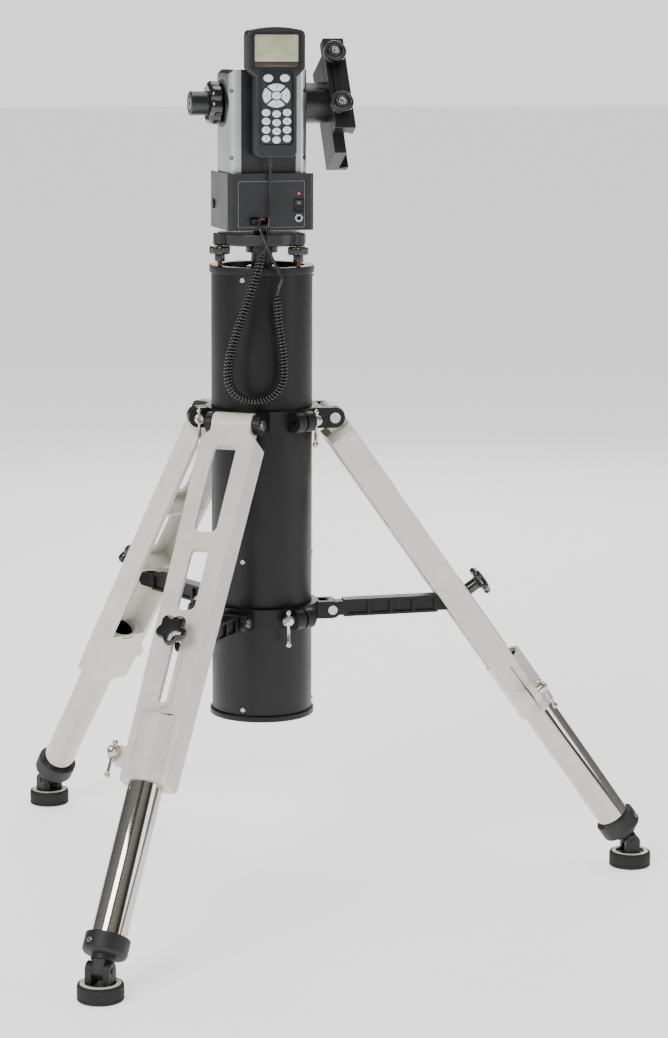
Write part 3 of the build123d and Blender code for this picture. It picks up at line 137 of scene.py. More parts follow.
soft_box("key_light", (-3.4, -3.2, 3.4), (0, 0, 0.7), (2.4, 2.4), 190)
soft_box("fill_light", (3.6, -2.6, 2.0), (0, 0, 0.7), (1.6, 2.6), 32)
soft_box("top_light", (0.3, 0.8, 4.2), (0, 0, 0.4), (3.0, 3.0), 90)
soft_box("back_light", (1.6, 3.8, 2.4), (0, 0, 0.8), (2.0, 2.0), 60)

REACH = 40.0
floor_mesh = bpy.data.meshes.new("floor")
floor_mesh.from_pydata([(-REACH, -REACH, 0), (REACH, -REACH, 0), (REACH, REACH, 0), (-REACH, REACH, 0)], [],
                       [(0, 1, 2, 3)])
floor = bpy.data.objects.new("floor", floor_mesh)
bpy.context.scene.collection.objects.link(floor)
paper = bpy.data.materials.new("matt_paper")
paper.use_nodes = True
tree = paper.node_tree
shader = tree.nodes["Principled BSDF"]
grain = add(tree, "TexNoise", {"Scale": 3.0, "Detail": 2.0},
            {"Vector": add(tree, "TexCoord").outputs["Object"]})
tree.links.new(ramp(tree, grain.outputs["Fac"], [(0.3, "#F1F1F0"), (0.7, "#F5F5F4")]), shader.inputs["Base Color"])
shader.inputs["Roughness"].default_value = 1.0
shader.inputs["Specular IOR Level"].default_value = 0.0
shader.inputs["Emission Color"].default_value = linear("#FFFFFF")
shader.inputs["Emission Strength"].default_value = 1.0
floor_mesh.materials.append(paper)

# The eye stands 1.32 m high and 4.3 m away, a little to the left of the head's front.
EYE = (-1.0502, -4.1984, 1.3199)
YAW, PITCH, ROLL = math.radians(15.50), 0.171, 0.004
SENSOR, FOCAL_LENGTH = 36.0, 99.926
look = np.array([math.sin(YAW) * math.cos(PITCH), math.cos(YAW) * math.cos(PITCH), -math.sin(PITCH)])
right = np.array([math.cos(YAW), -math.sin(YAW), 0.0])
above = np.cross(right, look)
right, above = (math.cos(ROLL) * right + math.sin(ROLL) * above, math.cos(ROLL) * above - math.sin(ROLL) * right)
lens = bpy.data.cameras.new("camera")
lens.sensor_width, lens.lens = SENSOR, FOCAL_LENGTH
camera = bpy.data.objects.new("camera", lens)
bpy.context.scene.collection.objects.link(camera)
camera.matrix_world = Matrix([[right[k], above[k], -look[k], EYE[k]] for k in range(3)] + [[0, 0, 0, 1]])
bpy.context.scene.camera = camera

# ==== pier ====
# A 152 mm drawn tube with a turned cap and foot ring, all in one satin powder coat, and nine zinc-plated
# button-head screws in three rows.


def unit(way_to):
    """The vector at length one."""
    way_to = np.array(way_to, float)
    return way_to / np.linalg.norm(way_to)


def place_at(origin, out, along_x=None):
    """A place: its origin, and its x, y and z axes as rows, z along out and x as near along_x as it can be."""
    z = unit(out)
    hint = np.array(along_x if along_x is not None else ((0, 0, 1) if abs(z[2]) < 0.9 else (1, 0, 0)), float)
    x = unit(hint - (hint @ z) * z)
    return np.array([origin, x, np.cross(z, x), z], float)


UPRIGHT = np.array([(0, 0, 0), (1, 0, 0), (0, 1, 0), (0, 0, 1)], float)


def towards(azimuth, outward=0.0, up=0.0, around=0.0):
    """The vector with these outward, upward and counter-clockwise shares at one azimuth."""
    c, s = math.cos(math.radians(azimuth)), math.sin(math.radians(azimuth))
    return np.array([outward * c - around * s, outward * s + around * c, up])


def surface(name, rows, place=UPRIGHT, ends=True):
    """A closed surface from rows of points, rows by columns by three, in millimetres in a place.

    Each row is a ring: its last point joins its first. Point (i, j) is origin + x X + y Y + z Z. Where ends
    is set, a fan to the mean of the first and of the last ring closes them; else the last ring joins the first.
    """
    rows = np.asarray(rows, float)
    n, m = rows.shape[:2]
    points = rows.reshape(-1, 3)
    i, j = np.meshgrid(np.arange(n if not ends else n - 1), np.arange(m), indexing="ij")
    a, b, c, d = (i * m + j, i * m + (j + 1) % m, (i + 1) % n * m + (j + 1) % m, (i + 1) % n * m + j)
    faces = np.stack([a, b, c, d], -1).reshape(-1, 4).tolist()
    if ends:
        points = np.vstack([points, rows[0].mean(0), rows[-1].mean(0)])
        k = np.arange(m)
        faces += np.stack([(k + 1) % m, k, np.full(m, n * m)], -1).tolist()
        faces += np.stack([(n - 1) * m + k, (n - 1) * m + (k + 1) % m, np.full(m, n * m + 1)], -1).tolist()
    mesh = bpy.data.meshes.new(name)
    mesh.from_pydata(((points @ place[1:] + place[0]) * MM).tolist(), [], faces)
    return shown_piece(name, mesh)


def shown_piece(name, mesh, crease=35.0):
    """An object for a mesh, merged where points coincide, smooth but for edges sharper than crease."""
    form = bmesh.new()
    form.from_mesh(mesh)
    bmesh.ops.remove_doubles(form, verts=form.verts, dist=1e-6)
    bmesh.ops.recalc_face_normals(form, faces=form.faces)
    form.to_mesh(mesh)
    form.free()
    mesh.shade_smooth()
    mesh.set_sharp_from_angle(angle=math.radians(crease))
    made = bpy.data.objects.new(name, mesh)
    bpy.context.scene.collection.objects.link(made)
    return made


def eased(profile, ease=1.0, steps=5):
    """The profile with each corner replaced by a quadratic curve from ease before it to ease after it."""
    line = np.array(profile, float)
    before, corner, after = line[:-2], line[1:-1], line[2:]
    back, on = before - corner, after - corner
    long_back, long_on = np.linalg.norm(back, axis=1)[:, None], np.linalg.norm(on, axis=1)[:, None]
    reach = np.minimum(ease, 0.45 * np.minimum(long_back, long_on))
    start, end = corner + back / long_back * reach, corner + on / long_on * reach
    t = np.linspace(0, 1, steps)[None, :, None]
    curve = (1 - t) ** 2 * start[:, None] + 2 * t * (1 - t) * corner[:, None] + t ** 2 * end[:, None]
    return np.vstack([line[:1], curve.reshape(-1, 2), line[-1:]])


def turned(name, profile, place=UPRIGHT, outline=None, sides=72, hollow=False):
    """A turned piece: the profile's (radius, height) points go round its z axis.

    Point (i, j) is (r cos t, r sin t, h) with t = 2 pi j / sides. An outline, a function of t, multiplies r.
    A hollow piece's profile is a closed loop, whose last point joins its first.
    """
    t = np.linspace(0, 2 * math.pi, sides, endpoint=False)
    scale = np.ones(sides) if outline is None else outline(t)
    profile = np.asarray(profile, float)
    radius = profile[:, :1] * scale[None]
    height = np.repeat(profile[:, 1:], sides, axis=1)
    rows = np.stack([radius * np.cos(t), radius * np.sin(t), height], -1)
    return surface(name, rows, place, ends=not hollow)


def tube_profile(inner, outer, low, high, ease):
    """A closed loop for a ring's section, its corners eased."""
    loop = [(inner, (low + high) / 2), (inner, low), (outer, low), (outer, high), (inner, high),
            (inner, (low + high) / 2)]
    return eased(loop, ease)[:-1]


def fit(piece, node, coat, stands_for=True):
    """Gives a piece its finish and lets it ride with a CAD node's body, standing for the node where asked."""
    piece.data.materials.clear()
    piece.data.materials.append(coat)
    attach(piece, frame["nodes"][node]["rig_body"])
    if stands_for:
        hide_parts(node)
    return piece


def new_coat(name, slot, **sockets):
    """A material for one finish, with its shader's own sockets set, and its tree, shader and coordinates."""
    made = bpy.data.materials.new(name)
    made.use_nodes = True
    if slot:
        made["slot"] = slot
    body = made.node_tree.nodes["Principled BSDF"]
    for socket, value in sockets.items():
        value = linear(value) if isinstance(value, str) else value
        body.inputs[socket.replace("_", " ")].default_value = value
    spot = add(made.node_tree, "TexCoord").outputs["Object"]
    return made, made.node_tree, body, spot


def per_mm(size):
    """A pattern's scale for features of that size in millimetres, on coordinates in metres."""
    return 1000.0 / size


def textured(tree, body, spot, light_and_dark, mottle, grit, depth, rough):
    """Mottled colour, uneven gloss and fine grit: sizes in millimetres, depth of the bump and two roughnesses."""
    cloud = add(tree, "TexNoise", {"Scale": per_mm(mottle), "Detail": 4.0, "Roughness": 0.6}, {"Vector": spot})
    tree.links.new(ramp(tree, cloud.outputs["Fac"], [(0.3, light_and_dark[1]), (0.7, light_and_dark[0])]),
                   body.inputs["Base Color"])
    gloss = add(tree, "MapRange", {"From Min": 0.3, "From Max": 0.7, "To Min": rough[0], "To Max": rough[1]},
                {"Value": cloud.outputs["Fac"]})
    tree.links.new(gloss.outputs[0], body.inputs["Roughness"])
    fine = add(tree, "TexNoise", {"Scale": per_mm(grit), "Detail": 3.0}, {"Vector": spot})
    bump = add(tree, "Bump", {"Strength": 0.35, "Distance": depth * MM}, {"Height": fine.outputs["Fac"]})
    tree.links.new(bump.outputs[0], body.inputs["Normal"])


# Satin black powder coat on aluminium: an even, slightly pebbled skin that spreads a highlight wide.
powder, tree, body, spot = new_coat("satin_black_powder_coat", "pier_black", IOR=1.5, Specular_IOR_Level=0.35)
textured(tree, body, spot, ("#101114", "#0A0B0D"), 60, 1.6, 0.12, (0.36, 0.46))

# Zinc-plated steel: bright, a little blue, with a finely drawn surface.
zinc, tree, body, spot = new_coat("zinc_plated_steel", "steel_pin", Metallic=1.0)
textured(tree, body, spot, ("#D3D5D8", "#B9BBBF"), 4, 0.8, 0.04, (0.22, 0.34))

PIER_RADIUS, PIER_BORE, PIER_TOP, PIER_BOTTOM = 76.2, 72.2, 960.5, 272.8
CAP_RADIUS, FOOT_RING_RADIUS, POST_HOLE = 78.8, 79.5, 16.1
SLEEVE, SPIGOT, SPIGOT_BORE = PIER_RADIUS + 0.1, 72.1, 63.5
RIM, SPIGOT_END = 3, 26               # how far the tube stops short of each fitting's end, and its spigot goes in
fit(turned("pier_tube_drawn", tube_profile(PIER_BORE, PIER_RADIUS, PIER_BOTTOM + RIM, PIER_TOP - RIM, 0.5),
           sides=160, hollow=True), "pier_tube", powder)
cap_loop = [(30, PIER_TOP - 10), (SPIGOT_BORE, PIER_TOP - 10), (SPIGOT_BORE, PIER_TOP), (CAP_RADIUS, PIER_TOP),
            (CAP_RADIUS, PIER_TOP - 11), (SLEEVE, PIER_TOP - 11), (SLEEVE, PIER_TOP - RIM),
            (SPIGOT, PIER_TOP - RIM), (SPIGOT, PIER_TOP - SPIGOT_END), (SPIGOT_BORE, PIER_TOP - SPIGOT_END),
            (SPIGOT_BORE, PIER_TOP - 13), (POST_HOLE, PIER_TOP - 13), (POST_HOLE, PIER_TOP - 10),
            (30, PIER_TOP - 10)]
fit(turned("pier_cap_turned", eased(cap_loop, 1.4)[:-1], sides=160, hollow=True), "pier_top_cap", powder)
foot_loop = [(70, PIER_BOTTOM), (FOOT_RING_RADIUS, PIER_BOTTOM), (FOOT_RING_RADIUS, PIER_BOTTOM + 9),
             (SLEEVE, PIER_BOTTOM + 9), (SLEEVE, PIER_BOTTOM + RIM), (SPIGOT, PIER_BOTTOM + RIM),
             (SPIGOT, PIER_BOTTOM + SPIGOT_END), (SPIGOT_BORE, PIER_BOTTOM + SPIGOT_END),
             (SPIGOT_BORE, PIER_BOTTOM), (70, PIER_BOTTOM)]
fit(turned("pier_foot_ring_turned", eased(foot_loop, 1.4)[:-1], sides=160, hollow=True), "pier_bottom_ring",
    powder)

FIRST_LEG = -6.0
LEGS = [FIRST_LEG + 120 * k for k in range(3)]
LUGS = [azimuth - 60 for azimuth in LEGS]
SCREW_HEIGHTS = (PIER_TOP - 18, 519.0, PIER_BOTTOM + 18)
BUTTON = eased([(0, -2), (2.5, -2), (2.5, 0.1), (4.2, 0.2), (3.9, 1.4), (2.9, 2.4), (1.7, 2.5), (1.6, 0.9),
                (0, 0.8)], 0.35)


def button_screw(name, origin, out):
    """A button-head screw with a drilled socket, its head on the surface at origin."""
    return turned(name, BUTTON, place_at(origin, out), sides=36)


def joined(name, parts):
    """One object of several, with their meshes together."""
    form = bmesh.new()
    for part in parts:
        form.from_mesh(part.data)
        spent = part.data
        bpy.data.objects.remove(part)
        bpy.data.meshes.remove(spent)
    mesh = bpy.data.meshes.new(name)
    form.to_mesh(mesh)
    form.free()
    made = bpy.data.objects.new(name, mesh)
    bpy.context.scene.collection.objects.link(made)
    return made


screws = [button_screw(f"screw_{azimuth}_{height}", towards(azimuth, PIER_RADIUS, height), towards(azimuth, 1))
          for azimuth in LEGS for height in SCREW_HEIGHTS]
fit(joined("pier_button_screws", screws), "pier_screws", zinc)

# ==== clamp rings ====
# Sand-cast aluminium rings in three parts, machined where they meet the pier, in the pier's powder coat;
# steel pins hold the legs and arms in their clevises.


def softened(node, name, ease, segments=2):
    """A merged copy of a CAD node's own shape, its flat faces whole again and its edges rounded by ease."""
    form = bmesh.new()
    form.from_mesh(frame["nodes"][node].data)
    bmesh.ops.remove_doubles(form, verts=form.verts, dist=2e-6)
    bmesh.ops.dissolve_limit(form, angle_limit=math.radians(0.4), verts=form.verts, edges=form.edges)
    bmesh.ops.triangulate(form, faces=[face for face in form.faces if len(face.verts) > 4])
    mesh = bpy.data.meshes.new(name)
    form.to_mesh(mesh)
    form.free()
    made = shown_piece(name, mesh, 30)
    round_off = made.modifiers.new("rounded_edges", "BEVEL")
    round_off.width, round_off.segments = ease * MM, segments
    round_off.limit_method, round_off.angle_limit = "ANGLE", math.radians(40)
    round_off.miter_outer = "MITER_ARC"
    level = made.modifiers.new("flat_faces_level", "WEIGHTED_NORMAL")
    level.keep_sharp, level.weight = True, 80
    return made


for node, name in (("upper_clamp_ring", "upper_ring_casting"), ("lower_clamp_ring", "lower_ring_casting")):
    fit(softened(node, name, 1.6, 3), node, powder)
for node, name in (("leg_hinge_pins", "leg_pins_headed"), ("arm_hinge_pins", "arm_pins_headed")):
    fit(softened(node, name, 0.8), node, zinc)

# ==== T-handled bolts ====
# Nickel-plated brass: a turned barrel with a hexagon end, and a bar that slides through it, with a ball
# pressed on each end. Six lock the clamp rings and three lock the leg tubes.
nickel, tree, body, spot = new_coat("bright_nickel_plate", "nickel", Metallic=1.0)
textured(tree, body, spot, ("#DAD6CF", "#C2BCB2"), 5, 1.2, 0.03, (0.10, 0.20))


def hexagon(t):
    """A hexagon's radius over its inner radius, at each angle."""
    turned_by = (t + math.pi / 6) % (math.pi / 3) - math.pi / 6
    return np.minimum(1 / np.cos(turned_by), 1.11)


BARREL = [(0, -10), (4, -10), (4, 0.4), (7.8, 0.4), (7.8, 13.2), (6.8, 13.4), (6.8, 14.2), (0, 14.2)]
HEXAGON_END = [(0, 13.5), (6.4, 13.5), (6.4, 16.6), (5.4, 17.2), (3.1, 17.2), (3.0, 14.8), (0, 14.6)]


def t_bolt(node, name, origin, out, bar_way):
    """The T-bolt whose barrel starts at origin and points out, its bar along bar_way."""
    seat = place_at(origin, out, bar_way)
    bar_height, short, bar = 9.35, 12.6, 49.0
    barrel = turned("barrel", eased(BARREL, 0.7), seat, sides=48)
    end = turned("end", eased(HEXAGON_END, 0.4), seat, hexagon, 48)
    angle = np.linspace(-math.pi / 2, math.pi / 2, 15)
    ball = np.stack([4.5 * np.cos(angle), 4.5 * np.sin(angle)], -1)
    first = ball[(ball[:, 1] < 3.5)]
    second = ball[(ball[:, 1] > -3.5)] + (0, bar)
    along = place_at(seat[0] + bar_height * seat[3] - short * seat[1], seat[1])
    rod = turned("rod", np.vstack([first, [(2.4, 5.2), (2.4, bar - 5.2)], second]), along, sides=32)
    fit(joined(name, [barrel, end, rod]), node, nickel)


UPPER_RING, LOWER_RING = 732.0, 433.0
LUG_RADIUS, LUG_FACE = 98.0, 16.5
for number, azimuth in enumerate(LUGS, 1):
    for ring, height, side in (("upper", UPPER_RING, -1), ("lower", LOWER_RING, 1)):
        t_bolt(f"{ring}_lock_{number}", f"{ring}_t_bolt_{number}",
               towards(azimuth, LUG_RADIUS, height, -side * LUG_FACE), towards(azimuth, around=-side), (0, 0, -1))

# ==== legs ====
# Die-cast aluminium upper legs in warm white enamel, finely pebbled by the spray; each holds a polished
# stainless tube, whose lower end has a moulded black boot.
enamel, tree, body, spot = new_coat("warm_white_sprayed_enamel", "cast_white", IOR=1.5, Coat_Weight=0.15,
                                    Coat_Roughness=0.3)
textured(tree, body, spot, ("#DEDCD4", "#D2CFC6"), 45, 2.2, 0.22, (0.36, 0.48))

# Mirror-polished stainless steel: fine rings round the tube from the polishing belt draw the reflections out.
polish = bpy.data.materials.new("polished_stainless_tube")
polish.use_nodes = True
polish["slot"] = "polished_tube"
tree = polish.node_tree
body = tree.nodes["Principled BSDF"]
body.inputs["Metallic"].default_value = 1.0
spot = add(tree, "UVMap", {"uv_map": "round_and_down"}).outputs["UV"]
lines = add(tree, "Mapping", {"Scale": (2.0, 260.0, 1.0)}, {"Vector": spot})
belt = add(tree, "TexNoise", {"Scale": 1.0, "Detail": 3.0}, {"Vector": lines.outputs[0]})
tree.links.new(ramp(tree, belt.outputs["Fac"], [(0.35, "#BFBBB6"), (0.65, "#C9C5C1")]), body.inputs["Base Color"])
worn = add(tree, "MapRange", {"From Min": 0.3, "From Max": 0.7, "To Min": 0.06, "To Max": 0.08},
           {"Value": belt.outputs["Fac"]})
tree.links.new(worn.outputs[0], body.inputs["Roughness"])

# Moulded black nylon: matt, with a spark-eroded grain.
nylon, tree, body, spot = new_coat("moulded_black_nylon", "boot_black", IOR=1.5)
textured(tree, body, spot, ("#1D1D1E", "#161617"), 20, 1.2, 0.15, (0.48, 0.60))

HINGE_RADIUS, LEG_ANGLE = 105.4, math.radians(35.1)
TUBE_RADIUS, TUBE_BORE, TUBE_TOP, TUBE_END = 25.4, 23.4, 480.0, 806.0
CLAMP_PLACE, CLAMP_SIDE, CLAMP_FACE = 535.0, -52.0, 12.0
BOOT_SCREW_PLACE, BOOT_SCREW_OUT = 810.0, 31.6
SET_SCREW = [(0, -3), (4.4, -3), (4.4, 0.1), (3.4, 0.6), (2.0, 0.6), (1.9, -1.2), (0, -1.2)]


def leg_axes(azimuth):
    """A leg's place at its hinge: x down the leg, y counter-clockwise, z out of its face."""
    s, c = math.sin(LEG_ANGLE), math.cos(LEG_ANGLE)
    return np.array([towards(azimuth, HINGE_RADIUS, UPPER_RING), towards(azimuth, s, -c),
                     towards(azimuth, around=1.0), towards(azimuth, c, s)])


def polished_tube(name, leg):
    """The tube as a closed ring section carried round, with a UV of turns round it and metres down it."""
    down = np.array([leg[0], leg[3], -leg[2], leg[1]])
    made = turned(name, tube_profile(TUBE_BORE, TUBE_RADIUS, TUBE_TOP, TUBE_END, 0.5), down, sides=96, hollow=True)
    layer = made.data.uv_layers.new(name="round_and_down")
    co = np.empty(len(made.data.vertices) * 3)
    made.data.vertices.foreach_get("co", co)
    local = (co.reshape(-1, 3) / MM - leg[0]) @ leg[1:].T
    corner = np.empty(len(made.data.loops), np.int32)
    made.data.loops.foreach_get("vertex_index", corner)
    around_by = np.abs(np.arctan2(local[:, 1], local[:, 2])) / math.pi
    uv = np.stack([around_by[corner], local[corner, 0] * MM], -1)
    layer.data.foreach_set("uv", uv.ravel().astype(np.float32))
    return made


for number, azimuth in enumerate(LEGS, 1):
    leg = leg_axes(azimuth)
    fit(softened(f"leg_{number}_casting", f"leg_{number}_white_casting", 1.8, 3), f"leg_{number}_casting", enamel)
    fit(polished_tube(f"leg_{number}_polished_tube", leg), f"leg_{number}_tube", polish)
    fit(softened(f"leg_{number}_boot", f"leg_{number}_moulded_boot", 0.9), f"leg_{number}_boot", nylon)
    screw_way = unit(0.9 * leg[3] - 0.45 * leg[2])
    screw_place = leg[0] + BOOT_SCREW_PLACE * leg[1] + BOOT_SCREW_OUT * screw_way
    screw = turned(f"leg_{number}_set_screw", eased(SET_SCREW, 0.3), place_at(screw_place, screw_way), sides=36)
    fit(screw, f"leg_{number}_boot", zinc, stands_for=False)
    t_bolt(f"leg_clamp_{number}", f"leg_t_bolt_{number}", leg[0] + np.array([CLAMP_PLACE, CLAMP_SIDE, CLAMP_FACE])
           @ leg[1:], leg[3], leg[1])

# ==== feet ====
# Moulded rubber pads, tacky and dull, each with a moulded swivel in its cup and a white nylon ring that keeps
# the swivel there.
rubber, tree, body, spot = new_coat("dull_black_rubber", "pad_rubber", IOR=1.52)
textured(tree, body, spot, ("#1B1A1A", "#141313"), 15, 1.4, 0.3, (0.70, 0.85))
white_nylon, tree, body, spot = new_coat("white_nylon", None, IOR=1.53, Subsurface_Weight=0.05)
textured(tree, body, spot, ("#ECEAE4", "#E2DFD7"), 12, 1.0, 0.05, (0.35, 0.45))

FOOT_RADIUS = 590.4
PAD = [(0, 0.4), (24, 0.4), (24.5, 0), (31.2, 0), (32.65, 1.6), (32.65, 4.6), (32.0, 5.4), (32.0, 7.0),
       (32.65, 7.8), (32.65, 20.4), (31.4, 23.4), (29.6, 24.2), (29.0, 23.6), (29.0, 17.2), (0, 17.2)]
for number, azimuth in enumerate(LEGS, 1):
    seat = place_at(towards(azimuth, FOOT_RADIUS, 0), (0, 0, 1), towards(azimuth, 1))
    fit(turned(f"foot_{number}_rubber_pad", eased(PAD, 0.6), seat, sides=96), f"foot_{number}_pad", rubber)
    ring = turned(f"foot_{number}_white_ring", tube_profile(22.0, 28.8, 21.2, 24.6, 0.9), seat, sides=96,
                  hollow=True)
    fit(ring, f"foot_{number}_pad", white_nylon, stands_for=False)
    fit(softened(f"foot_{number}_swivel", f"foot_{number}_cast_swivel", 0.8), f"foot_{number}_swivel", nylon)

# ==== spreader arms and star knobs ====
# Die-cast arms with pockets down both sides, in the pier's powder coat. Each star knob is glossy moulded
# phenolic with five lobes and a dome, on a zinc-plated stud in a nylon slide block.
phenolic, tree, body, spot = new_coat("glossy_black_phenolic", "knob_black", IOR=1.58, Coat_Weight=0.6,
                                      Coat_Roughness=0.06)
textured(tree, body, spot, ("#0E0E0F", "#090909"), 9, 3.0, 0.04, (0.14, 0.22))

KNOB_PLACE = 352.0


def five_lobes(t):
    """The star knob's radius over its hub's radius: a rounded wave with five crests."""
    return 1 + 0.30 * ((1 + np.cos(5 * t)) / 2) ** 0.75


SLIDE_BLOCK = np.array([(-8, -5.5), (8, -5.5), (8, 5.5), (-8, 5.5)])
STAR_HEAD = [(0, 35.5), (15.2, 35.5), (17.4, 36.6), (18.9, 39.4), (18.9, 43.0), (17.2, 46.0), (13.4, 47.6),
             (8, 48.35), (0, 48.6)]
STAR_STUD = [(0, -23), (4.5, -23), (4.5, 17), (0, 17)]
STAR_STEM = [(0, 16.8), (8.4, 16.8), (8.8, 17.4), (9.5, 18.0), (9.5, 33), (11.5, 35.8), (0, 36.0)]
for number, azimuth in enumerate(LEGS, 1):
    leg = leg_axes(azimuth)
    fit(softened(f"brace_arm_{number}", f"arm_{number}_casting", 1.0), f"brace_arm_{number}", powder)
    seat = np.array([leg[0] + KNOB_PLACE * leg[1], *leg[1:]])
    head = turned("head", eased(STAR_HEAD, 1.6), seat, five_lobes, 120)
    stem = turned("stem", eased(STAR_STEM, 0.5), seat, sides=48)
    fit(joined(f"star_knob_{number}_moulded", [head, stem]), f"star_knob_{number}", phenolic)
    stud = turned(f"star_knob_{number}_stud", eased(STAR_STUD, 0.5), seat, sides=32)
    fit(stud, f"star_knob_{number}", zinc, stands_for=False)
    rows = [np.c_[SLIDE_BLOCK * share, np.full(4, height)] for share, height in
            ((0.94, -22.5), (1, -21.9), (1, -6.1), (0.94, -5.5))]
    fit(surface(f"star_knob_{number}_slide_block", rows, seat), f"star_knob_{number}", nylon, stands_for=False)

# ==== levelling base ====
# A machined and anodised aluminium plate with three lobes. Each lobe rests on a scalloped phenolic knob,
# whose turned brass stud stands on the pier's cap.
anodised, tree, body, spot = new_coat("satin_black_anodised_aluminium", "head_black", IOR=1.5,
                                      Specular_IOR_Level=0.6)
textured(tree, body, spot, ("#1F2022", "#17181A"), 30, 1.0, 0.05, (0.26, 0.34))
brass, tree, body, spot = new_coat("turned_brass", None, Metallic=1.0)
textured(tree, body, spot, ("#C6A15A", "#A98545"), 3, 0.8, 0.05, (0.22, 0.36))

fit(softened("levelling_plate", "levelling_plate_machined", 2.2, 3), "levelling_plate", anodised)
fit(softened("centre_post", "centre_post_turned", 0.9), "centre_post", anodised)


def scallops(t):
    """The levelling knob's radius over its hub's radius, with eight shallow lobes."""
    return 1 + 0.10 * ((1 + np.cos(8 * t)) / 2) ** 0.6


STUD_RADIUS, STUD_FOOT, STUD_TOP = 3.8, 960.8, 1007.2
LEVEL_HEAD = [(0, 978), (13.2, 978), (14.5, 979.4), (14.5, 988.4), (13.0, 990), (0, 990)]
LEVEL_STEM = [(0, 967), (6.9, 967), (7.8, 968), (7.8, 978.4), (0, 978.4)]
THREAD = [(STUD_RADIUS - 0.45 * (k % 2), STUD_FOOT + 0.2 + 0.5 * k) for k in range(13)]
LEVEL_STUD = [(0, STUD_FOOT), (3.0, STUD_FOOT), *THREAD, (STUD_RADIUS, STUD_TOP), (0, STUD_TOP)]
for number in (1, 2, 3):
    low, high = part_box(f"levelling_knob_{number}")
    centre = (np.array(low) + np.array(high)) / 2 / MM * (1, 1, 0)
    seat = place_at(centre, (0, 0, 1))
    head = turned("head", eased(LEVEL_HEAD, 1.0), seat, scallops, 96)
    stem = turned("stem", eased(LEVEL_STEM, 0.6), seat, sides=48)
    fit(joined(f"levelling_knob_{number}_scalloped", [head, stem]), f"levelling_knob_{number}", phenolic)
    stud = turned(f"levelling_knob_{number}_brass_stud", LEVEL_STUD, seat, sides=32)
    fit(stud, f"levelling_knob_{number}", brass, stands_for=False)

# ==== base box ====
# A satin black anodised aluminium box with a painted, screen-printed front panel, which holds two sockets, a
# moulded rocker, a power jack and a red lamp.
painted, tree, body, spot = new_coat("painted_steel_panel", "panel_black", IOR=1.5)
textured(tree, body, spot, ("#232427", "#1A1B1D"), 40, 1.1, 0.10, (0.38, 0.46))
print_grey, tree, body, spot = new_coat("screen_printed_grey", None, IOR=1.5)
textured(tree, body, spot, ("#A9ABAD", "#9B9D9F"), 8, 0.8, 0.02, (0.5, 0.6))
dark_insert, tree, body, spot = new_coat("black_socket_insert", None, IOR=1.5)
textured(tree, body, spot, ("#0C0C0D", "#070708"), 6, 0.8, 0.03, (0.35, 0.5))
gold, tree, body, spot = new_coat("gold_plated_contact", None, Metallic=1.0)
textured(tree, body, spot, ("#E0B864", "#C79C48"), 2, 0.5, 0.02, (0.15, 0.25))

fit(softened("base_box", "base_box_folded", 1.8, 3), "base_box", anodised)
fit(softened("front_panel", "front_panel_printed", 0.3, 1), "front_panel", painted)

FRONT_Y = -59.2
front = np.array([(0, FRONT_Y, 0), (1, 0, 0), (0, 0, 1), (0, -1, 0)], float)


def outline_of(width, height, corner, steps=6):
    """A rounded rectangle's outline, counter-clockwise: a quarter circle of that radius at each corner."""
    quarter = np.linspace(0, math.pi / 2, steps)
    arc = np.stack([np.cos(quarter), np.sin(quarter)], -1) * corner
    x, y = width / 2 - corner, height / 2 - corner
    quads = [arc + (x, y), np.stack([-arc[:, 1], arc[:, 0]], -1) + (-x, y), -arc + (-x, -y),
             np.stack([arc[:, 1], -arc[:, 0]], -1) + (x, -y)]
    return np.vstack(quads)


def slab(name, outline, low, high, place, ease=0.4, centre=(0, 0), dome=0.0):
    """A flat piece: its outline at each height, drawn in by ease at both faces, with a domed top where asked.

    A ring's points are centre + outline scaled by 1 - inset / half its width and height.
    """
    half = np.abs(outline).max(0)
    turns = np.linspace(0, math.pi / 2, 4)
    inset = np.concatenate([ease * (1 - np.sin(turns)), ease * (1 - np.cos(turns))])
    height = np.concatenate([low + ease * (1 - np.cos(turns)), high - ease + ease * np.sin(turns)])
    rows = [np.c_[outline * (1 - i / half) + centre, np.full(len(outline), h)] for i, h in zip(inset, height)]
    if dome:
        for share in (0.8, 0.55, 0.3, 0.1):
            rows.append(np.c_[outline * (1 - ease / half) * share + centre,
                              np.full(len(outline), high + dome * (1 - share ** 2))])
    return surface(name, np.array(rows), place)


def ring_slab(name, outline, width, low, high, place, centre=(0, 0)):
    """A flat frame: the outline and its inner copy, drawn in by the same width all round, closed as a loop."""
    half = np.abs(outline).max(0)
    inner = outline * (1 - width / half)
    rows = [np.c_[line + centre, np.full(len(line), height)] for line, height in
            ((outline, low), (outline, high), (inner, high), (inner, low))]
    return surface(name, np.array(rows), place, ends=False)


PORTS_X, PORTS_HEIGHT, CONTACTS_HEIGHT, CONTACT_PITCH = (-26.0, -11.6), 1029.0, 1032.0, 1.3
CONTROLS_X, JACK_HEIGHT, ROCKER_HEIGHT, LAMP_HEIGHT = 41.8, 1033.0, 1051.5, 1069.0
PANEL_HEIGHT = 1053.5
fit(ring_slab("panel_border_line", outline_of(101, 68, 2.0), 0.3, 0.0, 0.15, front, (0, PANEL_HEIGHT)),
    "front_panel", print_grey, stands_for=False)
for number, port in enumerate(PORTS_X, 1):
    liner = ring_slab(f"socket_{number}_liner", outline_of(13.8, 12.2, 0.6), 0.9, -0.5, 0.6, front,
                      (port, PORTS_HEIGHT))
    fit(liner, "front_panel", dark_insert, stands_for=False)
contacts = [slab("contact", outline_of(0.6, 4.0, 0.2, 3), -9, -8.4, front, 0.1,
                 (PORTS_X[1] + CONTACT_PITCH * k, CONTACTS_HEIGHT)) for k in range(-3, 4)]
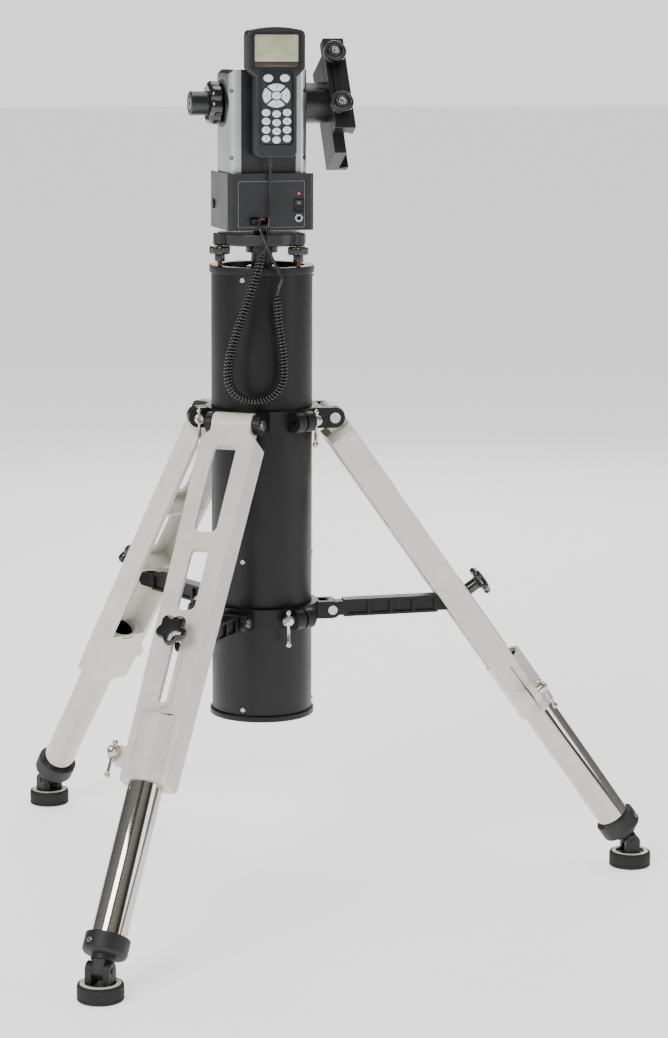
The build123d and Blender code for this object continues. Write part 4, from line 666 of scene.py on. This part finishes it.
fit(joined("socket_2_contacts", contacts), "front_panel", gold, stands_for=False)
jack = place_at((CONTROLS_X, FRONT_Y, JACK_HEIGHT), (0, -1, 0))
fit(turned("jack_ring", tube_profile(3.0, 5.6, -1.0, 0.9, 0.35), jack, hexagon, 48, hollow=True), "front_panel",
    zinc, stands_for=False)
fit(turned("jack_pin", eased([(0, -10), (1.0, -10), (1.0, -2.2), (0.4, -1.5), (0, -1.5)], 0.3), jack, sides=20),
    "front_panel", zinc, stands_for=False)

lamp_red, tree, body, spot = new_coat("red_lamp_lens", None, IOR=1.5, Transmission_Weight=0.2,
                                      Emission_Color="#FF2A1A", Emission_Strength=1.6)
textured(tree, body, spot, ("#E0301F", "#C02012"), 1, 0.5, 0.02, (0.1, 0.2))
fit(turned("power_lamp", eased([(0, 0.2), (1.9, 0.2), (1.8, 1.2), (1.0, 1.9), (0, 2.1)], 0.4),
           place_at((CONTROLS_X, FRONT_Y, LAMP_HEIGHT), (0, -1, 0)), sides=32), "front_panel", lamp_red,
    stands_for=False)

fit(softened("power_switch", "rocker_moulded", 0.5), "power_switch", nylon)
fit(ring_slab("rocker_bezel", outline_of(15.6, 20.6, 1.2), 1.2, -0.4, 0.9, front, (CONTROLS_X, ROCKER_HEIGHT)),
    "front_panel", dark_insert, stands_for=False)
marks = [slab("mark", outline_of(4.6, 0.5, 0.2, 3), -0.2, 0.35 + 0.25 * k, front, 0.08,
              (CONTROLS_X, ROCKER_HEIGHT + 1.1 + 1.4 * k)) for k in range(4)]
fit(joined("rocker_marks", marks), "power_switch", print_grey, stands_for=False)

# ==== tower ====
# A cast black tower between two wrapped side panels of bead-blasted, silver-anodised aluminium, each held by
# small socket screws at its front edge.
silver, tree, body, spot = new_coat("bead_blasted_silver_anodising", "side_silver", Metallic=0.85, IOR=1.5)
textured(tree, body, spot, ("#CDCFD1", "#BFC1C4"), 35, 0.9, 0.05, (0.28, 0.36))
fit(softened("tower_body", "tower_casting", 0.9), "tower_body", anodised)
fit(softened("side_panels", "side_panels_anodised", 1.0), "side_panels", silver)
black_oxide, tree, body, spot = new_coat("black_oxide_screw", None, Metallic=0.8)
textured(tree, body, spot, ("#3A3A3C", "#262628"), 2, 0.6, 0.03, (0.3, 0.42))
PANEL_CORNER, PANEL_CORNER_RADIUS, PANEL_SCREW_HEIGHTS = (46.0, 27.0), 15.0, (1121.0, 1219.0)
SOCKET_SCREW = [(0, -2), (3.0, -2), (3.0, 0.2), (2.6, 0.9), (1.5, 1.0), (1.4, -0.6), (0, -0.6)]
corner_out = unit((0.62, 0.78, 0))
side_screws = []
for side in (-1, 1):
    for face in (-1, 1):
        for height in PANEL_SCREW_HEIGHTS:
            out = corner_out * (side, face, 1)
            at = np.array([side * PANEL_CORNER[0], face * PANEL_CORNER[1], height]) + out * PANEL_CORNER_RADIUS
            side_screws.append(turned("screw", eased(SOCKET_SCREW, 0.25), place_at(at, out), sides=28))
fit(joined("side_panel_screws", side_screws), "side_panels", black_oxide, stands_for=False)

# ==== altitude axis and saddle ====
# The clutch knob is moulded phenolic with seven flutes; the saddle and its jaw are milled and black anodised,
# and the jaw's two knurled hand screws have bright turned centres.


def seven_flutes(t):
    """The clutch knob's radius over its rim's radius: seven broad lobes with narrow flutes between them."""
    return 1 - 0.13 * (1 - ((1 + np.cos(7 * t)) / 2) ** 0.45)


ALTITUDE = 1200.0
left = np.array([(0, 0, ALTITUDE), (0, 0, 1), (0, 1, 0), (-1, 0, 0)], float)
CLUTCH = [(0, 63.4), (28, 63.4), (30.5, 64.6), (33, 67), (33, 78.6), (30.4, 82.2), (27.5, 83.3), (20, 82.6),
          (0, 82.2)]
fit(turned("clutch_knob_moulded", eased(CLUTCH, 1.6), left, seven_flutes, 168), "clutch_knob", phenolic)
fit(softened("altitude_shaft", "altitude_shaft_turned", 1.0), "altitude_shaft", anodised)
fit(turned("counterweight_socket_lip", tube_profile(5.0, 8.2, 88.5, 110.3, 0.5), left, sides=48, hollow=True),
    "altitude_shaft", zinc, stands_for=False)
fit(softened("saddle_plate", "saddle_milled", 1.0), "saddle_plate", anodised)
fit(softened("saddle_jaw", "jaw_milled", 1.2), "saddle_jaw", anodised)

TILT = math.radians(30.0)
up_saddle = np.array([0, math.sin(TILT), math.cos(TILT)])
out_saddle = np.array([0, -math.cos(TILT), math.sin(TILT)])


def knurl(t):
    """The hand screw's radius over its rim's radius, with thirty-six fine straight ridges."""
    return 1 - 0.045 * np.abs(((t * 36 / math.pi) % 2) - 1) ** 1.5


HAND_SCREW = [(0, 0.2), (10.8, 0.2), (11, 1.0), (11, 7.6), (15.4, 8.2), (17, 9.4), (17, 19.8), (15.6, 21),
              (13.4, 21), (12.6, 20.1), (9.6, 20.1), (8.8, 20.8), (6.6, 20.8), (6.2, 19.6), (0, 19.6)]
SCREW_CENTRE = [(0, 19.4), (6.0, 19.4), (6.0, 20.6), (5.4, 20.9), (3.2, 20.9), (2.9, 19.9), (0, 19.9)]
JAW_X, JAW_OUT, JAW_SCREWS = 106.0, 42.6, (54.0, -30.5)
for number, along in enumerate(JAW_SCREWS, 1):
    origin = np.array([JAW_X, 0, ALTITUDE]) + along * up_saddle + JAW_OUT * out_saddle
    seat = place_at(origin, out_saddle, (1, 0, 0))
    fit(turned(f"jaw_knob_{number}_knurled", eased(HAND_SCREW, 0.5), seat, knurl, 216), f"jaw_knob_{number}",
        phenolic)
    centre = turned(f"jaw_knob_{number}_centre", eased(SCREW_CENTRE, 0.25), seat, sides=64)
    fit(centre, f"jaw_knob_{number}", zinc, stands_for=False)

# ==== hand controller ====
# Moulded ABS with a fine texture, a liquid-crystal window behind gloss acrylic, and pale silicone keys with
# printed figures.
abs_shell, tree, body, spot = new_coat("textured_black_abs", "controller_plastic", IOR=1.53)
textured(tree, body, spot, ("#242528", "#1B1C1E"), 25, 0.9, 0.12, (0.36, 0.44))
silicone, tree, body, spot = new_coat("pale_silicone_key", "key_rubber", IOR=1.42, Subsurface_Weight=0.1,
                                      Subsurface_Scale=0.002)
textured(tree, body, spot, ("#E3E6EA", "#D8DBE0"), 6, 0.8, 0.04, (0.42, 0.52))
key_print, tree, body, spot = new_coat("key_print_grey", None, IOR=1.5)
textured(tree, body, spot, ("#6E7278", "#5C6066"), 3, 0.5, 0.02, (0.5, 0.6))

CONTROLLER_X, CONTROLLER_FRONT = 2.0, -82.0
fit(softened("controller_body", "controller_shell", 0.6), "controller_body", abs_shell)
fit(softened("controller_holder", "controller_bracket", 0.6), "controller_holder", anodised)
face = np.array([(CONTROLLER_X, CONTROLLER_FRONT, 0), (1, 0, 0), (0, 0, 1), (0, -1, 0)], float)

# The window: a bezel, the glass with the pale green twisted-nematic cell under it, and a tinted strip below.
glass = bpy.data.materials.new("liquid_crystal_window")
glass.use_nodes = True
tree = glass.node_tree
body = tree.nodes["Principled BSDF"]
spot = add(tree, "TexCoord").outputs["Object"]
cells = add(tree, "TexBrick", {"Color1": linear("#B4BAA0"), "Color2": linear("#B8BEA4"),
                               "Mortar": linear("#A4AA90"), "Scale": 1.0, "Mortar Size": 0.00012,
                               "Brick Width": 0.0011, "Row Height": 0.0011, "offset": 0.0})
turned_flat = add(tree, "Mapping", {"Rotation": (math.pi / 2, 0, 0)}, {"Vector": spot})
tree.links.new(turned_flat.outputs[0], cells.inputs["Vector"])
haze = add(tree, "TexNoise", {"Scale": per_mm(40), "Detail": 1.0}, {"Vector": spot})
tint = ramp(tree, haze.outputs["Fac"], [(0.3, "#E9E4CF"), (0.7, "#FFFFFF")])
mixed = add(tree, "Mix", {"data_type": "RGBA", "blend_type": "MULTIPLY", 0: 1.0})
tree.links.new(cells.outputs["Color"], mixed.inputs[6])
tree.links.new(tint, mixed.inputs[7])
tree.links.new(mixed.outputs[2], body.inputs["Base Color"])
for socket, value in (("Roughness", 0.35), ("Coat Weight", 1.0), ("Coat Roughness", 0.04), ("IOR", 1.5)):
    body.inputs[socket].default_value = value
bronze, tree, body, spot = new_coat("bronze_tinted_acrylic", None, IOR=1.49, Coat_Weight=1.0, Coat_Roughness=0.04)
textured(tree, body, spot, ("#4A403A", "#3A322D"), 20, 2.0, 0.01, (0.15, 0.2))

SCREEN_HEIGHT = 1277.5
fit(slab("display_glass", outline_of(66, 39, 1.0), -1.6, -0.6, face, 0.2, (0, SCREEN_HEIGHT + 4)),
    "controller_body", glass, stands_for=False)
fit(slab("display_strip", outline_of(66, 7.5, 1.0), -1.6, -0.5, face, 0.2, (0, SCREEN_HEIGHT - 20.3)),
    "controller_body", bronze, stands_for=False)
fit(ring_slab("display_bezel", outline_of(74, 54, 4.0), 3.6, -1.6, 0.5, face, (0, SCREEN_HEIGHT)),
    "controller_body", dark_insert, stands_for=False)

# Heights on the controller's face: the key sheet's middle, the two round keys, the arrow ring's middle and the
# first row of figures. KEY_TOP is how far a key stands out of the face.
SHEET_HEIGHT, ROUND_KEYS_HEIGHT, ARROW_HEIGHT, FIRST_ROW_HEIGHT = 1195.5, 1238.2, 1213.0, 1188.4
COLUMN_PITCH, ROW_PITCH, MIDDLE_DROP, KEY_TOP = 15.8, 12.6, 2.0, 1.6
RING_WAYS = (0, 90, 180, 270)


def oval(width, height, steps=36):
    """An ellipse's outline."""
    t = np.linspace(0, 2 * math.pi, steps, endpoint=False)
    return np.stack([width / 2 * np.cos(t), height / 2 * np.sin(t)], -1)


def arrow_key(name, middle):
    """A quarter of the oval ring of arrow keys, pillowed: its top is -1.9 + 3.5 (1 - (1 - rise)^2).

    rise is sqrt(a b), where a and b are the distances from the rims in u and in v over 0.3, at most 1. v goes
    from the inner to the outer ellipse, u across the quarter, less half of an even 2.4 mm gap.
    """
    t = np.concatenate([-np.geomspace(1, 0.6, 7), [-0.3, 0, 0.3], np.geomspace(0.6, 1, 7)])
    u, v = np.meshgrid(t, t, indexing="ij")
    half_x, half_y = 8.6 + 12.2 * (v + 1) / 2, 7.0 + 10.5 * (v + 1) / 2
    gap = np.arcsin(1.2 / np.sqrt(half_x * half_y))
    angle = math.radians(middle) + u * (math.pi / 4 - gap)
    rise = np.sqrt(np.clip((1 - np.abs(u)) / 0.3, 0, 1) * np.clip((1 - np.abs(v)) / 0.3, 0, 1))
    height = -1.9 + 3.5 * (1 - (1 - rise) ** 2)
    points = np.stack([half_x * np.cos(angle), ARROW_HEIGHT + half_y * np.sin(angle), height], -1)
    n = len(t)
    index = np.arange(n * n).reshape(n, n)
    faces = np.stack([index[:-1, :-1], index[:-1, 1:], index[1:, 1:], index[1:, :-1]], -1).reshape(-1, 4).tolist()
    rim = np.concatenate([index[0, :-1], index[:-1, -1], index[-1, :0:-1], index[:0:-1, 0]])
    faces.append(rim[::-1].tolist())
    mesh = bpy.data.meshes.new(name)
    mesh.from_pydata(((points.reshape(-1, 3) @ face[1:] + face[0]) * MM).tolist(), [], faces)
    return shown_piece(name, mesh, 60)


fit(slab("key_sheet", outline_of(48.6, 106, 4.6), -2.6, -1.9, face, 0.2, (0, SHEET_HEIGHT)), "controller_keys",
    abs_shell, stands_for=False)
keys = [slab("key", oval(14.1, 11.0), -2.2, 1.0, face, 0.6, (side * 12.5, ROUND_KEYS_HEIGHT), 0.6)
        for side in (-1, 1)]
keys += [arrow_key("key", middle) for middle in RING_WAYS]
keys.append(slab("key", oval(14.2, 11.2), -2.2, 1.0, face, 0.6, (0, ARROW_HEIGHT), 0.6))
number_places = [(column * COLUMN_PITCH, FIRST_ROW_HEIGHT - row * ROW_PITCH - (MIDDLE_DROP if column == 0 else 0))
                 for row in range(4) for column in (-1, 0, 1)]
keys += [slab("key", oval(12.4, 10.4), -2.2, 0.9, face, 0.6, place, 0.7) for place in number_places]
fit(joined("controller_key_caps", keys), "controller_keys", silicone)


def figure(text, size, centre):
    """A printed figure as a thin mesh on a key's top, centred there."""
    letters = bpy.data.curves.new("figure", "FONT")
    letters.body, letters.size, letters.extrude = text, size, 0.05
    letters.align_x, letters.align_y, letters.resolution_u = "CENTER", "CENTER", 3
    holder = bpy.data.objects.new("figure", letters)
    mesh = bpy.data.meshes.new_from_object(holder)
    bpy.data.objects.remove(holder)
    bpy.data.curves.remove(letters)
    co = np.empty(len(mesh.vertices) * 3)
    mesh.vertices.foreach_get("co", co)
    co = co.reshape(-1, 3) + (centre[0], centre[1], KEY_TOP + 0.06)
    mesh.vertices.foreach_set("co", ((co @ face[1:] + face[0]) * MM).ravel())
    made = bpy.data.objects.new("figure", mesh)
    bpy.context.scene.collection.objects.link(made)
    return made


def pointer(middle):
    """A small triangular arrow on an arrow key, pointing away from the ring's centre."""
    c, s = math.cos(math.radians(middle)), math.sin(math.radians(middle))
    corners = np.array([(1.4, 0), (-0.9, 1.5), (-0.9, -1.5)]) @ np.array([(c, s), (-s, c)])
    centre = (14.8 * c, ARROW_HEIGHT + 12.4 * s)
    rows = [np.c_[corners + centre, np.full(3, height)] for height in (KEY_TOP - 0.1, KEY_TOP + 0.12)]
    return surface("pointer", np.array(rows), face)


prints = [figure(str((number + 1) % 10), 5.6, place) for number, place in enumerate(number_places[:10])]
prints += [pointer(middle) for middle in RING_WAYS]
fit(joined("controller_key_prints", prints), "controller_keys", key_print, stands_for=False)

# ==== controller cord ====
# One curly cord of black polyurethane: a straight lead down from the controller, a coil that hangs below it
# in a loop, and a straight lead up to the plug in the base box.
pu_cord, tree, body, spot = new_coat("glossy_black_polyurethane", "cord_black", IOR=1.5, Coat_Weight=0.3,
                                     Coat_Roughness=0.15)
textured(tree, body, spot, ("#121213", "#0C0C0D"), 12, 2.5, 0.03, (0.24, 0.32))

CORD_RADIUS, COIL_RADIUS = 2.1, 6.8
COIL_START, COIL_END = (-21, -89, 986), (-1.5, -98.5, 926)
ROUTE = [(-4.5, -70, 1110), (-5.2, -69, 1082), (-4.8, -69.5, 1052), (-6.5, -72, 1026), (-12, -80.5, 1006),
         COIL_START, (-30, -94.5, 958), (-46, -96, 911), (-62, -95.5, 868), (-73.5, -94.5, 829),
         (-75.5, -93.5, 794), (-59.5, -93.5, 771.5), (-33, -94, 763), (-6.5, -95, 771.5), (9.5, -96, 794),
         (8.5, -97, 829), (4, -97.5, 864), (-1, -98, 897), COIL_END, (0.2, -99, 934.5), (5, -98.6, 942),
         (6.2, -97.2, 950), (0.5, -94.5, 961.5), (-8.5, -92.5, 979), (-16, -91.8, 997), (-21.5, -91.5, 1010),
         (-24.6, -88.5, 1020), (-25.8, -81.5, 1027), (-26, -72.5, 1029)]


def smooth_curve(name, points, resolution):
    """A NURBS curve of order three in metres, with these points as its control points."""
    made = bpy.data.curves.new(name, "CURVE")
    made.dimensions = "3D"
    spline = made.splines.new("NURBS")
    spline.points.add(len(points) - 1)
    spline.points.foreach_set("co", np.c_[np.array(points) * MM, np.ones(len(points))].ravel())
    spline.order_u, spline.use_endpoint_u, spline.resolution_u = 3, True, resolution
    return made


def read_line(curve):
    """The points along a curve with no bevel, in millimetres."""
    holder = bpy.data.objects.new("line", curve)
    mesh = bpy.data.meshes.new_from_object(holder)
    line = np.empty(len(mesh.vertices) * 3)
    mesh.vertices.foreach_get("co", line)
    bpy.data.objects.remove(holder)
    bpy.data.meshes.remove(mesh)
    return line.reshape(-1, 3) / MM


line = read_line(smooth_curve("cord_route", ROUTE, 40))
run = np.concatenate([[0], np.cumsum(np.linalg.norm(np.diff(line, axis=0), axis=1))])
start, end = (run[np.linalg.norm(line - np.array(place), axis=1).argmin()] for place in (COIL_START, COIL_END))
PITCH_OF_COIL, STEPS_A_TURN, EASE_IN = 5.0, 16, 14.0
turns = round((end - start) / PITCH_OF_COIL)
along = np.concatenate([np.linspace(0, start, 40, endpoint=False),
                        np.linspace(start, end, turns * STEPS_A_TURN, endpoint=False),
                        np.linspace(end, run[-1], 50)])
middle = np.stack([np.interp(along, run, line[:, k]) for k in range(3)], -1)
ahead = np.stack([np.interp(along + 2, run, line[:, k]) - np.interp(along - 2, run, line[:, k])
                  for k in range(3)], -1)
ahead /= np.linalg.norm(ahead, axis=1)[:, None]
aside = np.array([0, 1.0, 0]) - ahead[:, 1:2] * ahead
aside /= np.linalg.norm(aside, axis=1)[:, None]
across = np.cross(ahead, aside)
grow = np.clip(np.minimum(along - start, end - along) / EASE_IN, 0, 1)
grow = grow * grow * (3 - 2 * grow) * (COIL_RADIUS - CORD_RADIUS)
angle = (along - start) / (end - start) * turns * 2 * math.pi
helix = middle + grow[:, None] * (np.cos(angle)[:, None] * aside + np.sin(angle)[:, None] * across)
wire = smooth_curve("controller_curly_cord", helix, 2)
wire.bevel_depth, wire.bevel_resolution, wire.use_fill_caps = CORD_RADIUS * MM, 2, True
cord = bpy.data.objects.new("controller_curly_cord", wire)
bpy.context.scene.collection.objects.link(cord)
fit(cord, "cord_coil", pu_cord)
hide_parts("cord_leads")

plug = fit(softened("cord_plug", "cord_plug_moulded", 0.5), "cord_plug", pu_cord)
